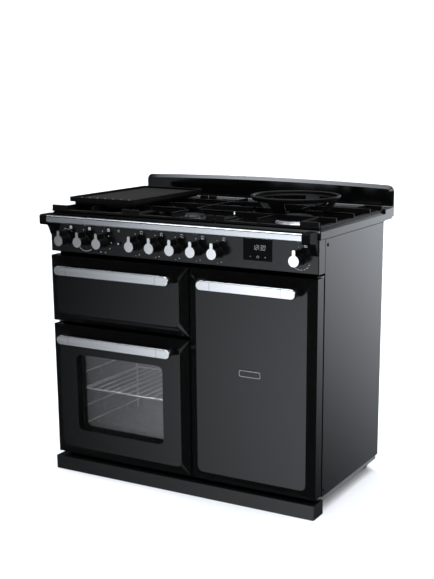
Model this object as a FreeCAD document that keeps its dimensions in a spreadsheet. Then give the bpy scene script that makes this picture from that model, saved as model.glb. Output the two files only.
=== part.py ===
import FreeCAD
import Part
import Sketcher

import os

# Range cooker with a glide-out grill, two ovens and a five-burner gas hotplate.
# Millimetres. +X right, +Y to the rear, +Z up, origin under the middle on the floor.

doc = FreeCAD.newDocument("range_cooker")
sheet = doc.addObject("Spreadsheet::Sheet", "sizes")


# ---------------------------------------------------------------- driving dimensions

class Size:
    """A number that also carries its spreadsheet formula, so sums of sizes stay live."""

    def __init__(self, value, formula=None):
        self.value = float(value)
        self.formula = formula or "%.6g" % self.value

    def __neg__(self):
        return Size(-self.value, "(-1 * %s)" % self.formula)

    def __add__(self, other):
        other = as_size(other)
        return Size(self.value + other.value, "(%s + %s)" % (self.formula, other.formula))

    def __sub__(self, other):
        other = as_size(other)
        return Size(self.value - other.value, "(%s - (%s))" % (self.formula, other.formula))

    def __mul__(self, other):
        other = as_size(other)
        return Size(self.value * other.value, "(%s * %s)" % (self.formula, other.formula))

    def __truediv__(self, other):
        other = as_size(other)
        return Size(self.value / other.value, "(%s / %s)" % (self.formula, other.formula))

    __radd__ = __add__
    __rmul__ = __mul__

    def __rsub__(self, other):
        return as_size(other) - self


def as_size(number):
    return number if isinstance(number, Size) else Size(number)


class Sizes:
    """The driving dimensions, one attribute per cell of the sheet."""

    def __init__(self, groups):
        row = 0
        for heading, cells in groups.items():
            row += 1
            sheet.set("A%d" % row, heading)
            for alias, value in cells.items():
                row += 1
                cell = "B%d" % row
                sheet.set("A%d" % row, alias)
                sheet.set(cell, str(value))
                sheet.setAlias(cell, alias)
                setattr(self, alias, Size(value, "sizes." + alias))


S = Sizes({
    "overall": {
        "width": 1000, "depth": 652, "rail_reach": 59, "skin": 1.5, "corner": 2},
    "plinth and base": {
        "plinth_step": 15.6, "plinth_depth": 67.6, "plinth_height": 47,
        "base_bottom": 38, "base_top": 56, "base_half": 492, "base_rear": 505,
        "foot_x": 440, "foot_y": 95, "foot_radius": 18, "stem_radius": 5,
        "roller_x": 450, "roller_y": 494, "roller_radius": 25, "roller_width": 22,
        "axle_radius": 4, "running_gap": 0.05, "cheek": 2.5},
    "cabinet": {
        "side_half": 498, "side_front": 49, "side_rear": 507, "cabinet_top": 872,
        "flange": 14, "frame_setback": 46, "frame_plate": 2, "frame_half": 496},
    "fronts": {
        "fronts_half": 498, "left_fronts_end": 46, "right_door_start": 50,
        "door_bottom": 60.5, "left_door_top": 520, "grill_front_bottom": 532, "fronts_top": 757,
        "door_depth": 40, "face_rise": 12, "face_inset": 29.5, "face_radius": 19,
        "hinge_edge": 8, "hinge_depth": 30, "pin_length": 15, "bush_radius": 6, "bush_length": 20,
        "bracket_plate": 2.5, "bracket_gap": 1.5},
    "left door window": {
        "window_left": 400, "window_right": 52, "window_bottom": 155, "window_top": 424,
        "window_radius": 20, "window_recess": 26, "glass": 4, "glass_lap": 12, "liner": 3},
    "handles": {
        "bar_radius": 16, "bar_thick": 11, "bar_front": 50, "bar_drop": 43.4, "bar_edge": 3,
        "left_bar_inset": 45.5, "right_bar_inset": 51, "post_radius": 11, "post_inset": 18,
        "post_foot_radius": 14, "post_foot": 4},
    "control panel": {
        "panel_bottom": 770, "panel_setback": 3, "panel_edge": 2.5,
        "knob_level": 813.3, "knob_front": 45, "knob_radius": 17, "pointer_width": 10.5,
        "pointer_reach": 33.6, "knob_face": 4, "knob_waist": 1.5, "knob_skirt": 18.5,
        "knob_skirt_deep": 7, "knob_gap": 1.5, "spindle_radius": 3, "spindle_end": 44,
        "oven_knobs_x": -430, "hob_knobs_x": -148.5, "knob_pitch": 76.4, "right_knob_x": 438,
        "button_x": -217, "button_radius": 5, "button_proud": 5, "button_ring": 8.5,
        "button_travel": 3,
        "clock_left": 243, "clock_right": 343, "clock_bottom": 797, "clock_top": 865},
    "hand rail": {
        "rail_bottom": 872.5, "rail_top": 897, "rail_front": 55, "rail_deep": 22,
        "rail_half": 470, "rail_wall": 2, "rail_round": 5,
        "end_width": 26, "end_top": 900, "end_bottom": 866},
    "hotplate": {
        "hob_setback": 6, "hob_rear": 517, "hob_bottom": 874, "hob_strip_top": 894,
        "hob_rim_top": 904, "hob_floor": 884, "hob_slope": 8, "hob_rim": 10, "hob_dish_slope": 6,
        "hob_corner": 6, "hob_sheet": 3,
        "ledge_top": 911, "wall_front": 553, "upstand_top": 984, "arch_rise": 9.5,
        "upstand_corner": 22, "upstand_round": 10, "upstand_wall": 3, "cove": 12},
    "burners": {
        "front_burners_y": 136, "rear_burners_y": 400, "left_burners_x": -330,
        "centre_burners_x": -19, "wok_x": 288, "wok_y": 268, "small_burner": 37,
        "large_burner": 46, "wok_burner": 60, "cup_flange": 4, "cup_deep": 22,
        "head_tall": 13, "port_width": 3, "port_deep": 6, "cap_tall": 6},
    "pan supports": {
        "support_bottom": 905, "support_rail_top": 919, "support_top": 925, "support_bar": 9,
        "support_front": 66, "support_rear": 474, "bar_two": 202, "bar_three": 338,
        "support_left": -488, "support_split_one": -170, "support_split_two": 132,
        "support_right": 472, "support_gap": 2, "finger": 7, "support_foot": 6},
    "griddle and wok ring": {
        "griddle_left": -450, "griddle_right": -195, "griddle_front": 42, "griddle_rear": 495,
        "griddle_skirt": 15, "griddle_seat": 10, "griddle_plate": 15, "griddle_rim": 9,
        "griddle_dish": 7, "griddle_corner": 14, "dimple": 3.5, "dimple_pitch": 32,
        "wok_ring_outer": 145, "wok_ring_foot": 106, "wok_ring_top": 956, "wok_ring_wall": 7,
        "wok_window": 100},
    "ovens": {
        "left_cavity_left": -450, "left_cavity_right": 0, "right_cavity_left": 92,
        "right_cavity_right": 457, "oven_floor": 98, "left_oven_top": 478, "right_oven_top": 715,
        "grill_floor": 552, "grill_ceiling": 738, "cavity_deep": 405, "cavity_corner": 20,
        "cavity_flange": 12, "leg": 30, "wire": 3, "rung": 2.5, "ladder_front": 90,
        "ladder_rear": 410, "ladder_pitch": 62, "shelf_wire": 2, "shelf_pitch": 33,
        "shelf_inset": 9.2, "shelf_rest": 5.37,
        "baffle_half": 120, "baffle_deep": 30, "fan_radius": 62, "fan_hub": 12, "shaft": 4,
        "blade_tall": 12, "ring_radius": 84, "element": 4, "motor_radius": 30, "motor_deep": 38},
    "grill": {
        "runner_level": 600, "runner_tall": 12, "runner_width": 10, "runner_inset": 10,
        "runner_end": 395, "slide_gap": 0.4, "pan_deep": 28, "pan_front": 62, "pan_rear": 380,
        "element_level": 722, "element_pitch": 60},
    "gas and rear": {
        "tap_boss": 13.9, "tap_hole": 14, "tap_width": 30, "tap_tall": 34, "tap_rear": 66,
        "manifold": 14, "manifold_right": 430, "inlet_rear": 540, "inlet_radius": 14,
        "inlet_bore": 9.3, "inlet_length": 18,
        "box_left": 240, "box_right": 380, "box_bottom": 120, "box_top": 200, "box_deep": 32,
        "gland_radius": 11, "gland_bore": 6.5, "gland_length": 20},
})

HALF = S.width / 2
REAR = S.depth / 2
RIM = S.rail_reach - REAR                  # plane of the fronts' outer rims
FACE = RIM - S.face_rise                   # raised flat faces of the fronts
FRAME = RIM + S.frame_setback              # front of the plate behind the doors
FRAME_BACK = FRAME + S.frame_plate
CAVITY_BACK = FRAME_BACK + S.cavity_deep
SIDE_REAR = RIM + S.side_rear
PANEL = RIM + S.panel_setback
FRONTS_LEFT = -S.fronts_half
LEFT_BAR = (FRONTS_LEFT + S.left_bar_inset, S.left_fronts_end - S.left_bar_inset)
RIGHT_BAR = (S.right_door_start + S.right_bar_inset, S.fronts_half - S.right_bar_inset)

KNOBS = {
    "knob_grill": S.oven_knobs_x,
    "knob_left_oven_mode": S.oven_knobs_x + S.knob_pitch,
    "knob_left_oven_heat": S.oven_knobs_x + 2 * S.knob_pitch,
    "knob_left_rear_burner": S.hob_knobs_x,
    "knob_left_front_burner": S.hob_knobs_x + S.knob_pitch,
    "knob_centre_front_burner": S.hob_knobs_x + 2 * S.knob_pitch,
    "knob_centre_rear_burner": S.hob_knobs_x + 3 * S.knob_pitch,
    "knob_wok_burner": S.hob_knobs_x + 4 * S.knob_pitch,
    "knob_right_oven_heat": S.right_knob_x,
}
GAS_KNOBS = [name for name in KNOBS if name.endswith("burner")]

BURNERS = [
    (S.left_burners_x, RIM + S.front_burners_y, S.small_burner),
    (S.left_burners_x, RIM + S.rear_burners_y, S.small_burner),
    (S.centre_burners_x, RIM + S.front_burners_y, S.large_burner),
    (S.centre_burners_x, RIM + S.rear_burners_y, S.small_burner),
    (S.wok_x, RIM + S.wok_y, S.wok_burner),
]

NODES = {}
CUTS = []


# ---------------------------------------------------------------- drawing and features

def bind(thing, name, size):
    thing.setExpression(name, as_size(size).formula)


def new_body(name, node=True):
    """A body; a node is exported by itself, any other body belongs to a group."""
    body = doc.addObject("PartDesign::Body", name)
    body.Label = name
    if node:
        NODES[name] = body
    return body


def group(name, bodies):
    """One node that holds several separate solids."""
    compound = doc.addObject("Part::Compound", name)
    compound.Label = name
    compound.Links = bodies
    NODES[name] = compound


def origin_feature(body, role):
    return next(item for item in body.Origin.OriginFeatures if item.Role == role)


def drawing_on(body, role, offset, across, up):
    drawing = body.newObject("Sketcher::SketchObject", body.Name + "_drawing")
    drawing.AttachmentSupport = [(origin_feature(body, role), "")]
    drawing.MapMode = "FlatFace"
    bind(drawing, "AttachmentOffset.Base.x", across)
    bind(drawing, "AttachmentOffset.Base.y", up)
    bind(drawing, "AttachmentOffset.Base.z", offset)
    return drawing


def level(body, height, x=0, y=0):
    """Drawing in a horizontal plane; it pads upwards and pockets downwards."""
    return drawing_on(body, "XY_Plane", height, x, y)


def upright(body, y, x=0, z=0):
    """Drawing in a plane that faces the front; it pads forwards and pockets backwards."""
    return drawing_on(body, "XZ_Plane", -as_size(y), x, z)


def section(body, x, y=0, z=0):
    """Drawing of a side view; it pads to the right and pockets to the left."""
    return drawing_on(body, "YZ_Plane", x, y, z)


def dimension(drawing, kind, *where):
    size = as_size(where[-1])
    index = drawing.addConstraint(Sketcher.Constraint(kind, *where[:-1], size.value))
    bind(drawing, "Constraints[%d]" % index, size)


def locate(drawing, curve, point, x, y):
    dimension(drawing, "DistanceX", -1, 1, curve, point, x)
    dimension(drawing, "DistanceY", -1, 1, curve, point, y)


def spot(x, y):
    return FreeCAD.Vector(as_size(x).value, as_size(y).value, 0)


def circle(drawing, radius, x=0, y=0):
    shape = Part.Circle(spot(x, y), FreeCAD.Vector(0, 0, 1), as_size(radius).value)
    curve = drawing.addGeometry(shape)
    locate(drawing, curve, 3, x, y)
    dimension(drawing, "Radius", curve, radius)


def polygon(drawing, corners):
    first = drawing.GeometryCount
    count = len(corners)
    for index, corner in enumerate(corners):
        drawing.addGeometry(Part.LineSegment(spot(*corner), spot(*corners[(index + 1) % count])))
    for index, corner in enumerate(corners):
        following = first + (index + 1) % count
        drawing.addConstraint(Sketcher.Constraint("Coincident", first + index, 2, following, 1))
        locate(drawing, first + index, 1, *corner)


def rectangle(drawing, left, right, bottom, top):
    polygon(drawing, [(left, bottom), (right, bottom), (right, top), (left, top)])


def corner_arc(x, y, radius, start, end):
    full = Part.Circle(spot(x, y), FreeCAD.Vector(0, 0, 1), as_size(radius).value)
    quarter = 1.5707963267948966
    return Part.ArcOfCircle(full, start * quarter, end * quarter)


def rounded(drawing, left, right, bottom, top, radius):
    """Rectangle with four equal round corners."""
    left, right, bottom, top, radius = map(as_size, (left, right, bottom, top, radius))
    west, east, south, north = left + radius, right - radius, bottom + radius, top - radius
    first = drawing.GeometryCount
    drawing.addGeometry(Part.LineSegment(spot(west, bottom), spot(east, bottom)))
    drawing.addGeometry(corner_arc(east, south, radius, -1, 0))
    drawing.addGeometry(Part.LineSegment(spot(right, south), spot(right, north)))
    drawing.addGeometry(corner_arc(east, north, radius, 0, 1))
    drawing.addGeometry(Part.LineSegment(spot(east, top), spot(west, top)))
    drawing.addGeometry(corner_arc(west, north, radius, 1, 2))
    drawing.addGeometry(Part.LineSegment(spot(left, north), spot(left, south)))
    drawing.addGeometry(corner_arc(west, south, radius, 2, 3))
    for side in range(8):
        here, following = first + side, first + (side + 1) % 8
        drawing.addConstraint(Sketcher.Constraint("Tangent", here, 2, following, 1))
    for side, kind in ((0, "Horizontal"), (2, "Vertical"), (4, "Horizontal"), (6, "Vertical")):
        drawing.addConstraint(Sketcher.Constraint(kind, first + side))
    for side in (3, 5, 7):
        drawing.addConstraint(Sketcher.Constraint("Equal", first + 1, first + side))
    dimension(drawing, "Radius", first + 1, radius)
    dimension(drawing, "DistanceY", -1, 1, first, 1, bottom)
    dimension(drawing, "DistanceX", -1, 1, first + 2, 1, right)
    dimension(drawing, "DistanceY", -1, 1, first + 4, 1, top)
    dimension(drawing, "DistanceX", -1, 1, first + 6, 1, left)


def pill(drawing, left, right, middle, radius):
    """Level bar outline with a half circle at each end."""
    left, right, middle, radius = map(as_size, (left, right, middle, radius))
    west, east = left + radius, right - radius
    first = drawing.GeometryCount
    drawing.addGeometry(Part.LineSegment(spot(west, middle - radius), spot(east, middle - radius)))
    drawing.addGeometry(corner_arc(east, middle, radius, -1, 1))
    drawing.addGeometry(Part.LineSegment(spot(east, middle + radius), spot(west, middle + radius)))
    drawing.addGeometry(corner_arc(west, middle, radius, 1, 3))
    for side in range(4):
        here, following = first + side, first + (side + 1) % 4
        drawing.addConstraint(Sketcher.Constraint("Tangent", here, 2, following, 1))
    drawing.addConstraint(Sketcher.Constraint("Equal", first + 1, first + 3))
    dimension(drawing, "Radius", first + 1, radius)
    locate(drawing, first + 1, 3, east, middle)
    locate(drawing, first + 3, 3, west, middle)


def feature_of(body, kind, drawing):
    feature = body.newObject("PartDesign::" + kind, "%s_%s" % (body.Name, kind.lower()))
    feature.Profile = drawing
    return feature


def pad(body, drawing, length, flip=False, taper=0):
    feature = feature_of(body, "Pad", drawing)
    bind(feature, "Length", length)
    feature.Reversed = flip
    feature.TaperAngle = taper
    return feature


def pocket(body, drawing, depth=None, flip=False):
    feature = feature_of(body, "Pocket", drawing)
    if depth is None:
        feature.Type = "ThroughAll"
    else:
        bind(feature, "Length", depth)
    feature.Reversed = flip
    CUTS.append(feature)
    return feature


def revolve(body, drawing, axis="V_Axis"):
    feature = feature_of(body, "Revolution", drawing)
    feature.ReferenceAxis = (drawing, [axis])
    feature.Angle = 360
    return feature


def loft(body, first, second, kind="AdditiveLoft"):
    feature = feature_of(body, kind, first)
    feature.Sections = [(second, [""])]
    feature.Ruled = True
    if kind == "SubtractiveLoft":
        CUTS.append(feature)
    return feature


def pipe(body, profile, spine):
    feature = feature_of(body, "AdditivePipe", profile)
    feature.Spine = (spine, [])
    return feature


def in_a_row(body, features, role, length, count):
    pattern = body.newObject("PartDesign::LinearPattern", body.Name + "_row")
    pattern.Originals = features
    pattern.Direction = (origin_feature(body, role), [""])
    bind(pattern, "Length", length)
    pattern.Occurrences = count
    body.Tip = pattern
    return pattern


def in_a_ring(body, features, drawing, count, axis="N_Axis"):
    pattern = body.newObject("PartDesign::PolarPattern", body.Name + "_ring")
    pattern.Originals = features
    pattern.Axis = (drawing, [axis])
    pattern.Angle = 360
    pattern.Occurrences = count
    body.Tip = pattern
    return pattern


def round_edges(body, radius, chosen, kind="Fillet"):
    """Fillet or chamfer on the edges of the body's last feature that pass the test."""
    doc.recompute()
    base = body.Tip
    names = ["Edge%d" % (index + 1) for index, edge in enumerate(base.Shape.Edges) if chosen(edge)]
    feature = body.newObject("PartDesign::" + kind, "%s_%s" % (body.Name, kind.lower()))
    feature.Base = (base, names)
    bind(feature, "Radius" if kind == "Fillet" else "Size", radius)
    return feature


def on_plane(edge, axis, size):
    """Whether an edge lies in the plane where its x, y or z is the given size."""
    box = edge.BoundBox
    low, high = {"x": (box.XMin, box.XMax), "y": (box.YMin, box.YMax), "z": (box.ZMin, box.ZMax)}[axis]
    place = as_size(size).value
    return abs(low - place) < 0.01 and abs(high - place) < 0.01


# ---------------------------------------------------------------- plinth, base and rollers

def plinth():
    """Folded kick strip under the doors, open below and behind."""
    body = new_body("plinth")
    front = RIM - S.plinth_step
    back = front + S.plinth_depth
    outline = level(body, 0)
    rectangle(outline, -HALF, HALF, front, back)
    pad(body, outline, S.plinth_height)
    inside = level(body, 0)
    rectangle(inside, -HALF + S.skin, HALF - S.skin, front + S.skin, back + S.skin)
    pocket(body, inside, S.plinth_height - S.skin, flip=True)


def base_frame():
    """Pressed tray upside down, with two adjuster holes in each side, notched for the rollers."""
    body = new_body("base_frame")
    front = RIM - S.plinth_step + S.plinth_depth
    rear = RIM + S.base_rear
    outline = level(body, S.base_bottom)
    rectangle(outline, -S.base_half, S.base_half, front, rear)
    pad(body, outline, S.base_top - S.base_bottom)
    inside = level(body, S.base_bottom)
    rectangle(inside, -S.base_half + S.skin, S.base_half - S.skin, front + S.skin, rear - S.skin)
    pocket(body, inside, S.base_top - S.base_bottom - S.skin, flip=True)
    holes = section(body, S.base_half)
    for distance in (202, 327):
        circle(holes, 4.5, RIM + distance, (S.base_bottom + S.base_top) / 2)
    pocket(body, holes)
    notches = upright(body, rear - 3)
    for side in (-1, 1):
        middle = side * S.roller_x
        rectangle(notches, middle - 16, middle + 16, S.base_bottom - 1, S.base_top - S.skin)
    pocket(body, notches)


def levelling_feet():
    """Two screw feet behind the plinth: pad, stem and lock nut."""
    feet = []
    underside = S.base_top - S.skin
    for side in (-1, 1):
        body = new_body("levelling_foot", node=False)
        profile = upright(body, RIM + S.foot_y, x=side * S.foot_x)
        polygon(profile, [
            (0, 0), (S.foot_radius, 0), (S.foot_radius, 5), (S.foot_radius - 6, 9),
            (S.stem_radius, 9), (S.stem_radius, underside - 8), (9, underside - 8),
            (9, underside), (0, underside)])
        revolve(body, profile)
        feet.append(body)
    group("levelling_feet", feet)


def roller_brackets():
    """Rear roller forks under the base frame, with their axles."""
    pieces = []
    top = S.base_top - S.skin
    inner = S.roller_width / 2 + 1
    outer = inner + S.cheek
    axle_y = RIM + S.roller_y
    for side in (-1, 1):
        x = side * S.roller_x
        fork = new_body("roller_fork", node=False)
        cheeks = section(fork, x - outer)
        polygon(cheeks, [
            (axle_y - 68, top), (axle_y - 68, top - 24), (axle_y - 50, 14), (axle_y + 8, 10),
            (axle_y + 9.5, 18), (axle_y + 9.5, top)])
        pad(fork, cheeks, 2 * outer)
        throat = section(fork, x - inner)
        rectangle(throat, axle_y - 70, axle_y + 12, 0, top - S.cheek)
        pocket(fork, throat, 2 * inner, flip=True)
        hole = section(fork, x + outer, y=axle_y, z=S.roller_radius)
        circle(hole, S.axle_radius)
        pocket(fork, hole)
        axle = new_body("roller_axle", node=False)
        rod = section(axle, x - outer, y=axle_y, z=S.roller_radius)
        circle(rod, S.axle_radius)
        pad(axle, rod, 2 * outer)
        pieces += [fork, axle]
    group("roller_brackets", pieces)


def roller(name, side):
    """Rear wheel with a crowned tread, turning on its axle."""
    body = new_body(name)
    half = S.roller_width / 2
    radius = S.roller_radius
    bore = S.axle_radius + S.running_gap
    profile = upright(body, RIM + S.roller_y, x=side * S.roller_x, z=radius)
    polygon(profile, [
        (-half, bore), (half, bore), (half, radius - 2), (half - 2, radius),
        (2 - half, radius), (-half, radius - 2)])
    revolve(body, profile, axis="H_Axis")


# ---------------------------------------------------------------- cabinet

def side_panels():
    """Folded steel sides with inward flanges and two screw holes each."""
    panels = []
    for side in (-1, 1):
        body = new_body("side_panel", node=False)
        flat = section(body, side * S.side_half)
        front, bottom = RIM + S.side_front, S.base_top
        rectangle(flat, front, SIDE_REAR, bottom, S.cabinet_top)
        pad(body, flat, S.flange, flip=side > 0)
        tray = section(body, side * (S.side_half - S.flange))
        rectangle(tray, front + S.skin, SIDE_REAR - S.skin, bottom + S.skin, S.cabinet_top - S.skin)
        pocket(body, tray, S.flange - S.skin, flip=side > 0)
        screws = section(body, side * S.side_half)
        circle(screws, 4.5, RIM + 66, 853)
        circle(screws, 4.5, RIM + 61, 76)
        pocket(body, screws, S.skin * 2, flip=side < 0)
        panels.append(body)
    group("side_panels", panels)


def back_cover():
    """Rear sheet with a raised middle, rows of louvre slots and two spacers at the right."""
    body = new_body("back_cover")
    half = S.base_half
    outline = upright(body, SIDE_REAR)
    rectangle(outline, -half, half, 60, S.cabinet_top - 2)
    pad(body, outline, S.skin, flip=True)
    raised = upright(body, SIDE_REAR + S.skin)
    rounded(raised, -400, 190, 150, 740, 24)
    pad(body, raised, 9, flip=True, taper=-20)
    behind = upright(body, SIDE_REAR)
    rounded(behind, -394, 184, 156, 734, 20)
    pocket(body, behind, 8)
    slots = upright(body, SIDE_REAR + 12)
    for left in (-360, -250, -140, -30, 80):
        rounded(slots, left, left + 80, 544, 550, 2.9)
    cut = pocket(body, slots, 14, flip=True)
    in_a_row(body, [cut], "Z_Axis", 96, 7)
    spacers = upright(body, SIDE_REAR + S.skin)
    rectangle(spacers, half - 40, half, 777, 833)
    pad(body, spacers, 14, flip=True)
    clip = upright(body, SIDE_REAR + S.skin)
    rectangle(clip, half - 30, half, 628, 663)
    pad(body, clip, 10, flip=True)
    inlet = upright(body, SIDE_REAR, x=S.manifold_right - S.manifold / 2, z=MANIFOLD_LEVEL)
    circle(inlet, S.inlet_radius + 2)
    pocket(body, inlet)


MANIFOLD_LEVEL = S.knob_level - 7


def terminal_cover():
    """Cable terminal box on the back, with a gland that opens downwards."""
    body = new_body("terminal_cover")
    back = SIDE_REAR + S.skin
    outline = upright(body, back)
    rounded(outline, S.box_left, S.box_right, S.box_bottom, S.box_top, 6)
    pad(body, outline, S.box_deep, flip=True)
    inside = upright(body, back)
    wall = 2
    rounded(inside, S.box_left + wall, S.box_right - wall, S.box_bottom + wall, S.box_top - wall, 4)
    pocket(body, inside, S.box_deep - wall)
    middle = (S.box_left + S.box_right) / 2
    gland = level(body, S.box_bottom + wall, x=middle, y=back + S.box_deep / 2)
    circle(gland, S.gland_radius)
    pad(body, gland, S.gland_length, flip=True)
    bore = level(body, S.box_bottom + wall, x=middle, y=back + S.box_deep / 2)
    circle(bore, S.gland_bore)
    pocket(body, bore, S.gland_length)


def front_frame():
    """Plate that carries the cavities, hinges and taps, with an opening for each."""
    body = new_body("front_frame")
    plate = upright(body, FRAME)
    rectangle(plate, -S.frame_half, S.frame_half, S.base_top, S.cabinet_top - S.skin)
    pad(body, plate, S.frame_plate, flip=True)
    mouths = upright(body, FRAME)
    radius = S.cavity_corner
    left, right = S.left_cavity_left, S.left_cavity_right
    rounded(mouths, left, right, S.grill_floor, S.grill_ceiling, radius)
    rounded(mouths, left, right, S.oven_floor, S.left_oven_top, radius)
    rounded(mouths, S.right_cavity_left, S.right_cavity_right, S.oven_floor, S.right_oven_top, radius)
    for x in KNOBS.values():
        circle(mouths, S.tap_hole, x, S.knob_level)
    circle(mouths, S.tap_hole, S.button_x, S.knob_level)
    rectangle(mouths, S.clock_left + 6, S.clock_right - 6, S.clock_bottom + 6, S.clock_top - 6)
    pocket(body, mouths)


def hinge_places():
    """Pin centre, plate level, pin root, pin direction and outer side of each of the hinges."""
    left_x = FRONTS_LEFT + S.hinge_edge
    right_x = S.fronts_half - S.hinge_edge
    below = S.door_bottom - S.bracket_gap - S.bracket_plate
    above_left = S.left_door_top + S.bracket_gap
    above_right = S.fronts_top + S.bracket_gap
    return [(left_x, below, 1), (left_x, above_left, -1), (right_x, below, 1), (right_x, above_right, -1)]


def hinge_brackets():
    """Four lugs on the front frame, each with the pin that a door turns on."""
    lugs = []
    for x, bottom, way in hinge_places():
        body = new_body("hinge_bracket", node=False)
        lug = level(body, bottom)
        rounded(lug, x - 7, x + 7, RIM + S.hinge_depth - 7, FRAME, 3)
        pad(body, lug, S.bracket_plate)
        root = bottom + S.bracket_plate if way > 0 else bottom
        pin = level(body, root, x=x, y=RIM + S.hinge_depth)
        circle(pin, S.axle_radius)
        pad(body, pin, S.pin_length, flip=way < 0)
        lugs.append(body)
    group("hinge_brackets", lugs)


def door_seals():
    """Soft gaskets on the front frame around the two oven mouths."""
    seals = []
    mouths = (
        (S.left_cavity_left, S.left_cavity_right, S.left_oven_top),
        (S.right_cavity_left, S.right_cavity_right, S.right_oven_top))
    for left, right, top in mouths:
        body = new_body("door_seal", node=False)
        ring = upright(body, FRAME)
        for reach in (3, 11):
            rounded(ring, left - reach, right + reach, S.oven_floor - reach, top + reach,
                    S.cavity_corner + reach)
        pad(body, ring, S.frame_setback - S.door_depth - 0.5)
        seals.append(body)
    group("door_seals", seals)


# ---------------------------------------------------------------- doors and grill front

def front_skin(name, left, right, bottom, top):
    """Pressed enamel front: deep sides, a raised flat face and mitred slopes between."""
    body = new_body(name)
    rim = upright(body, RIM)
    rounded(rim, left, right, bottom, top, S.corner)
    pad(body, rim, S.door_depth, flip=True)
    slope_foot = upright(body, RIM)
    rounded(slope_foot, left, right, bottom, top, S.corner)
    inset = S.face_inset
    face = upright(body, FACE)
    rounded(face, left + inset, right - inset, bottom + inset, top - inset, S.face_radius)
    loft(body, slope_foot, face)
    skin = S.skin
    hollow = upright(body, RIM + S.door_depth)
    rounded(hollow, left + skin, right - skin, bottom + skin, top - skin, 1)
    pocket(body, hollow, S.door_depth - skin, flip=True)
    relief = upright(body, RIM + skin)
    deep_inset = inset + skin
    rounded(relief, left + deep_inset, right - deep_inset, bottom + deep_inset, top - deep_inset,
            S.face_radius - skin)
    pocket(body, relief, S.face_rise, flip=True)
    return body


def hinge_bushes(body, places):
    """Blocks in the bottom and top of a door, bored for the hinge pins."""
    for x, bottom, way in places:
        edge = S.door_bottom if way > 0 else bottom - S.bracket_gap
        y = RIM + S.hinge_depth
        block = level(body, edge, x=x, y=y)
        circle(block, S.bush_radius)
        pad(body, block, S.bush_length, flip=way < 0)
        bore = level(body, edge, x=x, y=y)
        circle(bore, S.axle_radius + S.running_gap)
        pocket(body, bore, S.bush_length, flip=way > 0)


def left_door():
    """Oven door skin with a deep window collar."""
    body = front_skin("left_door", FRONTS_LEFT, S.left_fronts_end, S.door_bottom, S.left_door_top)
    window = (-S.window_left, -S.window_right, S.window_bottom, S.window_top)
    collar = upright(body, FACE + S.skin / 2)
    rounded(collar, window[0] - 2, window[1] + 2, window[2] - 2, window[3] + 2, S.window_radius + 2)
    pad(body, collar, S.window_recess - S.skin / 2, flip=True)
    opening = upright(body, FACE)
    rounded(opening, *window, S.window_radius)
    pocket(body, opening)
    hinge_bushes(body, hinge_places()[:2])


def left_door_glass():
    """Outer pane behind the window collar and inner pane on the liner."""
    panes = []
    liner_front = RIM + S.door_depth - S.liner
    for back, lap in ((FACE + S.window_recess + S.glass, S.glass_lap), (liner_front, 8)):
        body = new_body("door_pane", node=False)
        pane = upright(body, back)
        rounded(pane, -S.window_left - lap, lap - S.window_right, S.window_bottom - lap,
                S.window_top + lap, S.window_radius)
        pad(body, pane, S.glass)
        panes.append(body)
    group("left_door_glass", panes)


def door_liner(name, left, right, top):
    """Inner panel that closes the back of a door, with a pressed border."""
    body = new_body(name)
    skin = S.skin
    back = RIM + S.door_depth
    plate = upright(body, back)
    rounded(plate, left + skin, right - skin, S.door_bottom + skin, top - skin, 1)
    pad(body, plate, S.liner)
    field = upright(body, back)
    rounded(field, left + 60, right - 60, S.door_bottom + 60, top - 60, 16)
    pocket(body, field, S.liner - skin, flip=True)
    return body


def left_door_liner():
    """Inner panel of the left door, cut out for its inner pane."""
    body = door_liner("left_door_liner", FRONTS_LEFT, S.left_fronts_end, S.left_door_top)
    window = upright(body, RIM + S.door_depth)
    rounded(window, -S.window_left, -S.window_right, S.window_bottom, S.window_top, 14)
    pocket(body, window, S.liner, flip=True)


def right_door():
    """Tall oven door skin, plain in front."""
    body = front_skin("right_door", S.right_door_start, S.fronts_half, S.door_bottom, S.fronts_top)
    hinge_bushes(body, hinge_places()[2:])


def bar_handle(name, ends, top):
    """Flat bar with round ends on two posts that stand on a front's face."""
    left, right = ends
    middle = top - S.bar_drop
    bar = new_body(name + "_bar", node=False)
    outline = upright(bar, RIM - S.bar_front + S.bar_thick)
    pill(outline, left, right, middle, S.bar_radius)
    pad(bar, outline, S.bar_thick)
    round_edges(bar, S.bar_edge, lambda edge: on_plane(edge, "y", RIM - S.bar_front))
    pieces = [bar]
    for x in (left + S.post_inset, right - S.post_inset):
        post = new_body(name + "_post", node=False)
        foot = upright(post, FACE, x=x, z=middle)
        circle(foot, S.post_foot_radius)
        pad(post, foot, S.post_foot)
        stem = upright(post, FACE, x=x, z=middle)
        circle(stem, S.post_radius)
        pad(post, stem, S.bar_front - S.bar_thick - S.face_rise)
        pieces.append(post)
    group(name, pieces)


def grill_front():
    """Front of the glide-out grill."""
    front_skin("grill_front", FRONTS_LEFT, S.left_fronts_end, S.grill_front_bottom, S.fronts_top)


def runner_sides():
    """Left and right edges of the two grill runners."""
    left = S.left_cavity_left + S.runner_inset
    right = S.left_cavity_right - S.runner_inset
    return [(left, left + S.runner_width), (right - S.runner_width, right)]


def grill_carriage():
    """Back plate of the grill front with two runners and a rear tie bar."""
    body = new_body("grill_carriage")
    skin = S.skin
    back = RIM + S.door_depth
    plate = upright(body, back)
    rounded(plate, FRONTS_LEFT + skin, S.left_fronts_end - skin, S.grill_front_bottom + skin,
            S.fronts_top - skin, 1)
    pad(body, plate, S.liner)
    bottom, top = S.runner_level, S.runner_level + S.runner_tall
    for left, right in runner_sides():
        runner = upright(body, back)
        rectangle(runner, left, right, bottom, top)
        pad(body, runner, RIM + S.runner_end - back, flip=True)
    tie = upright(body, RIM + S.runner_end - 8)
    rectangle(tie, runner_sides()[0][0], runner_sides()[1][1], bottom, top)
    pad(body, tie, 8, flip=True)


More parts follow.
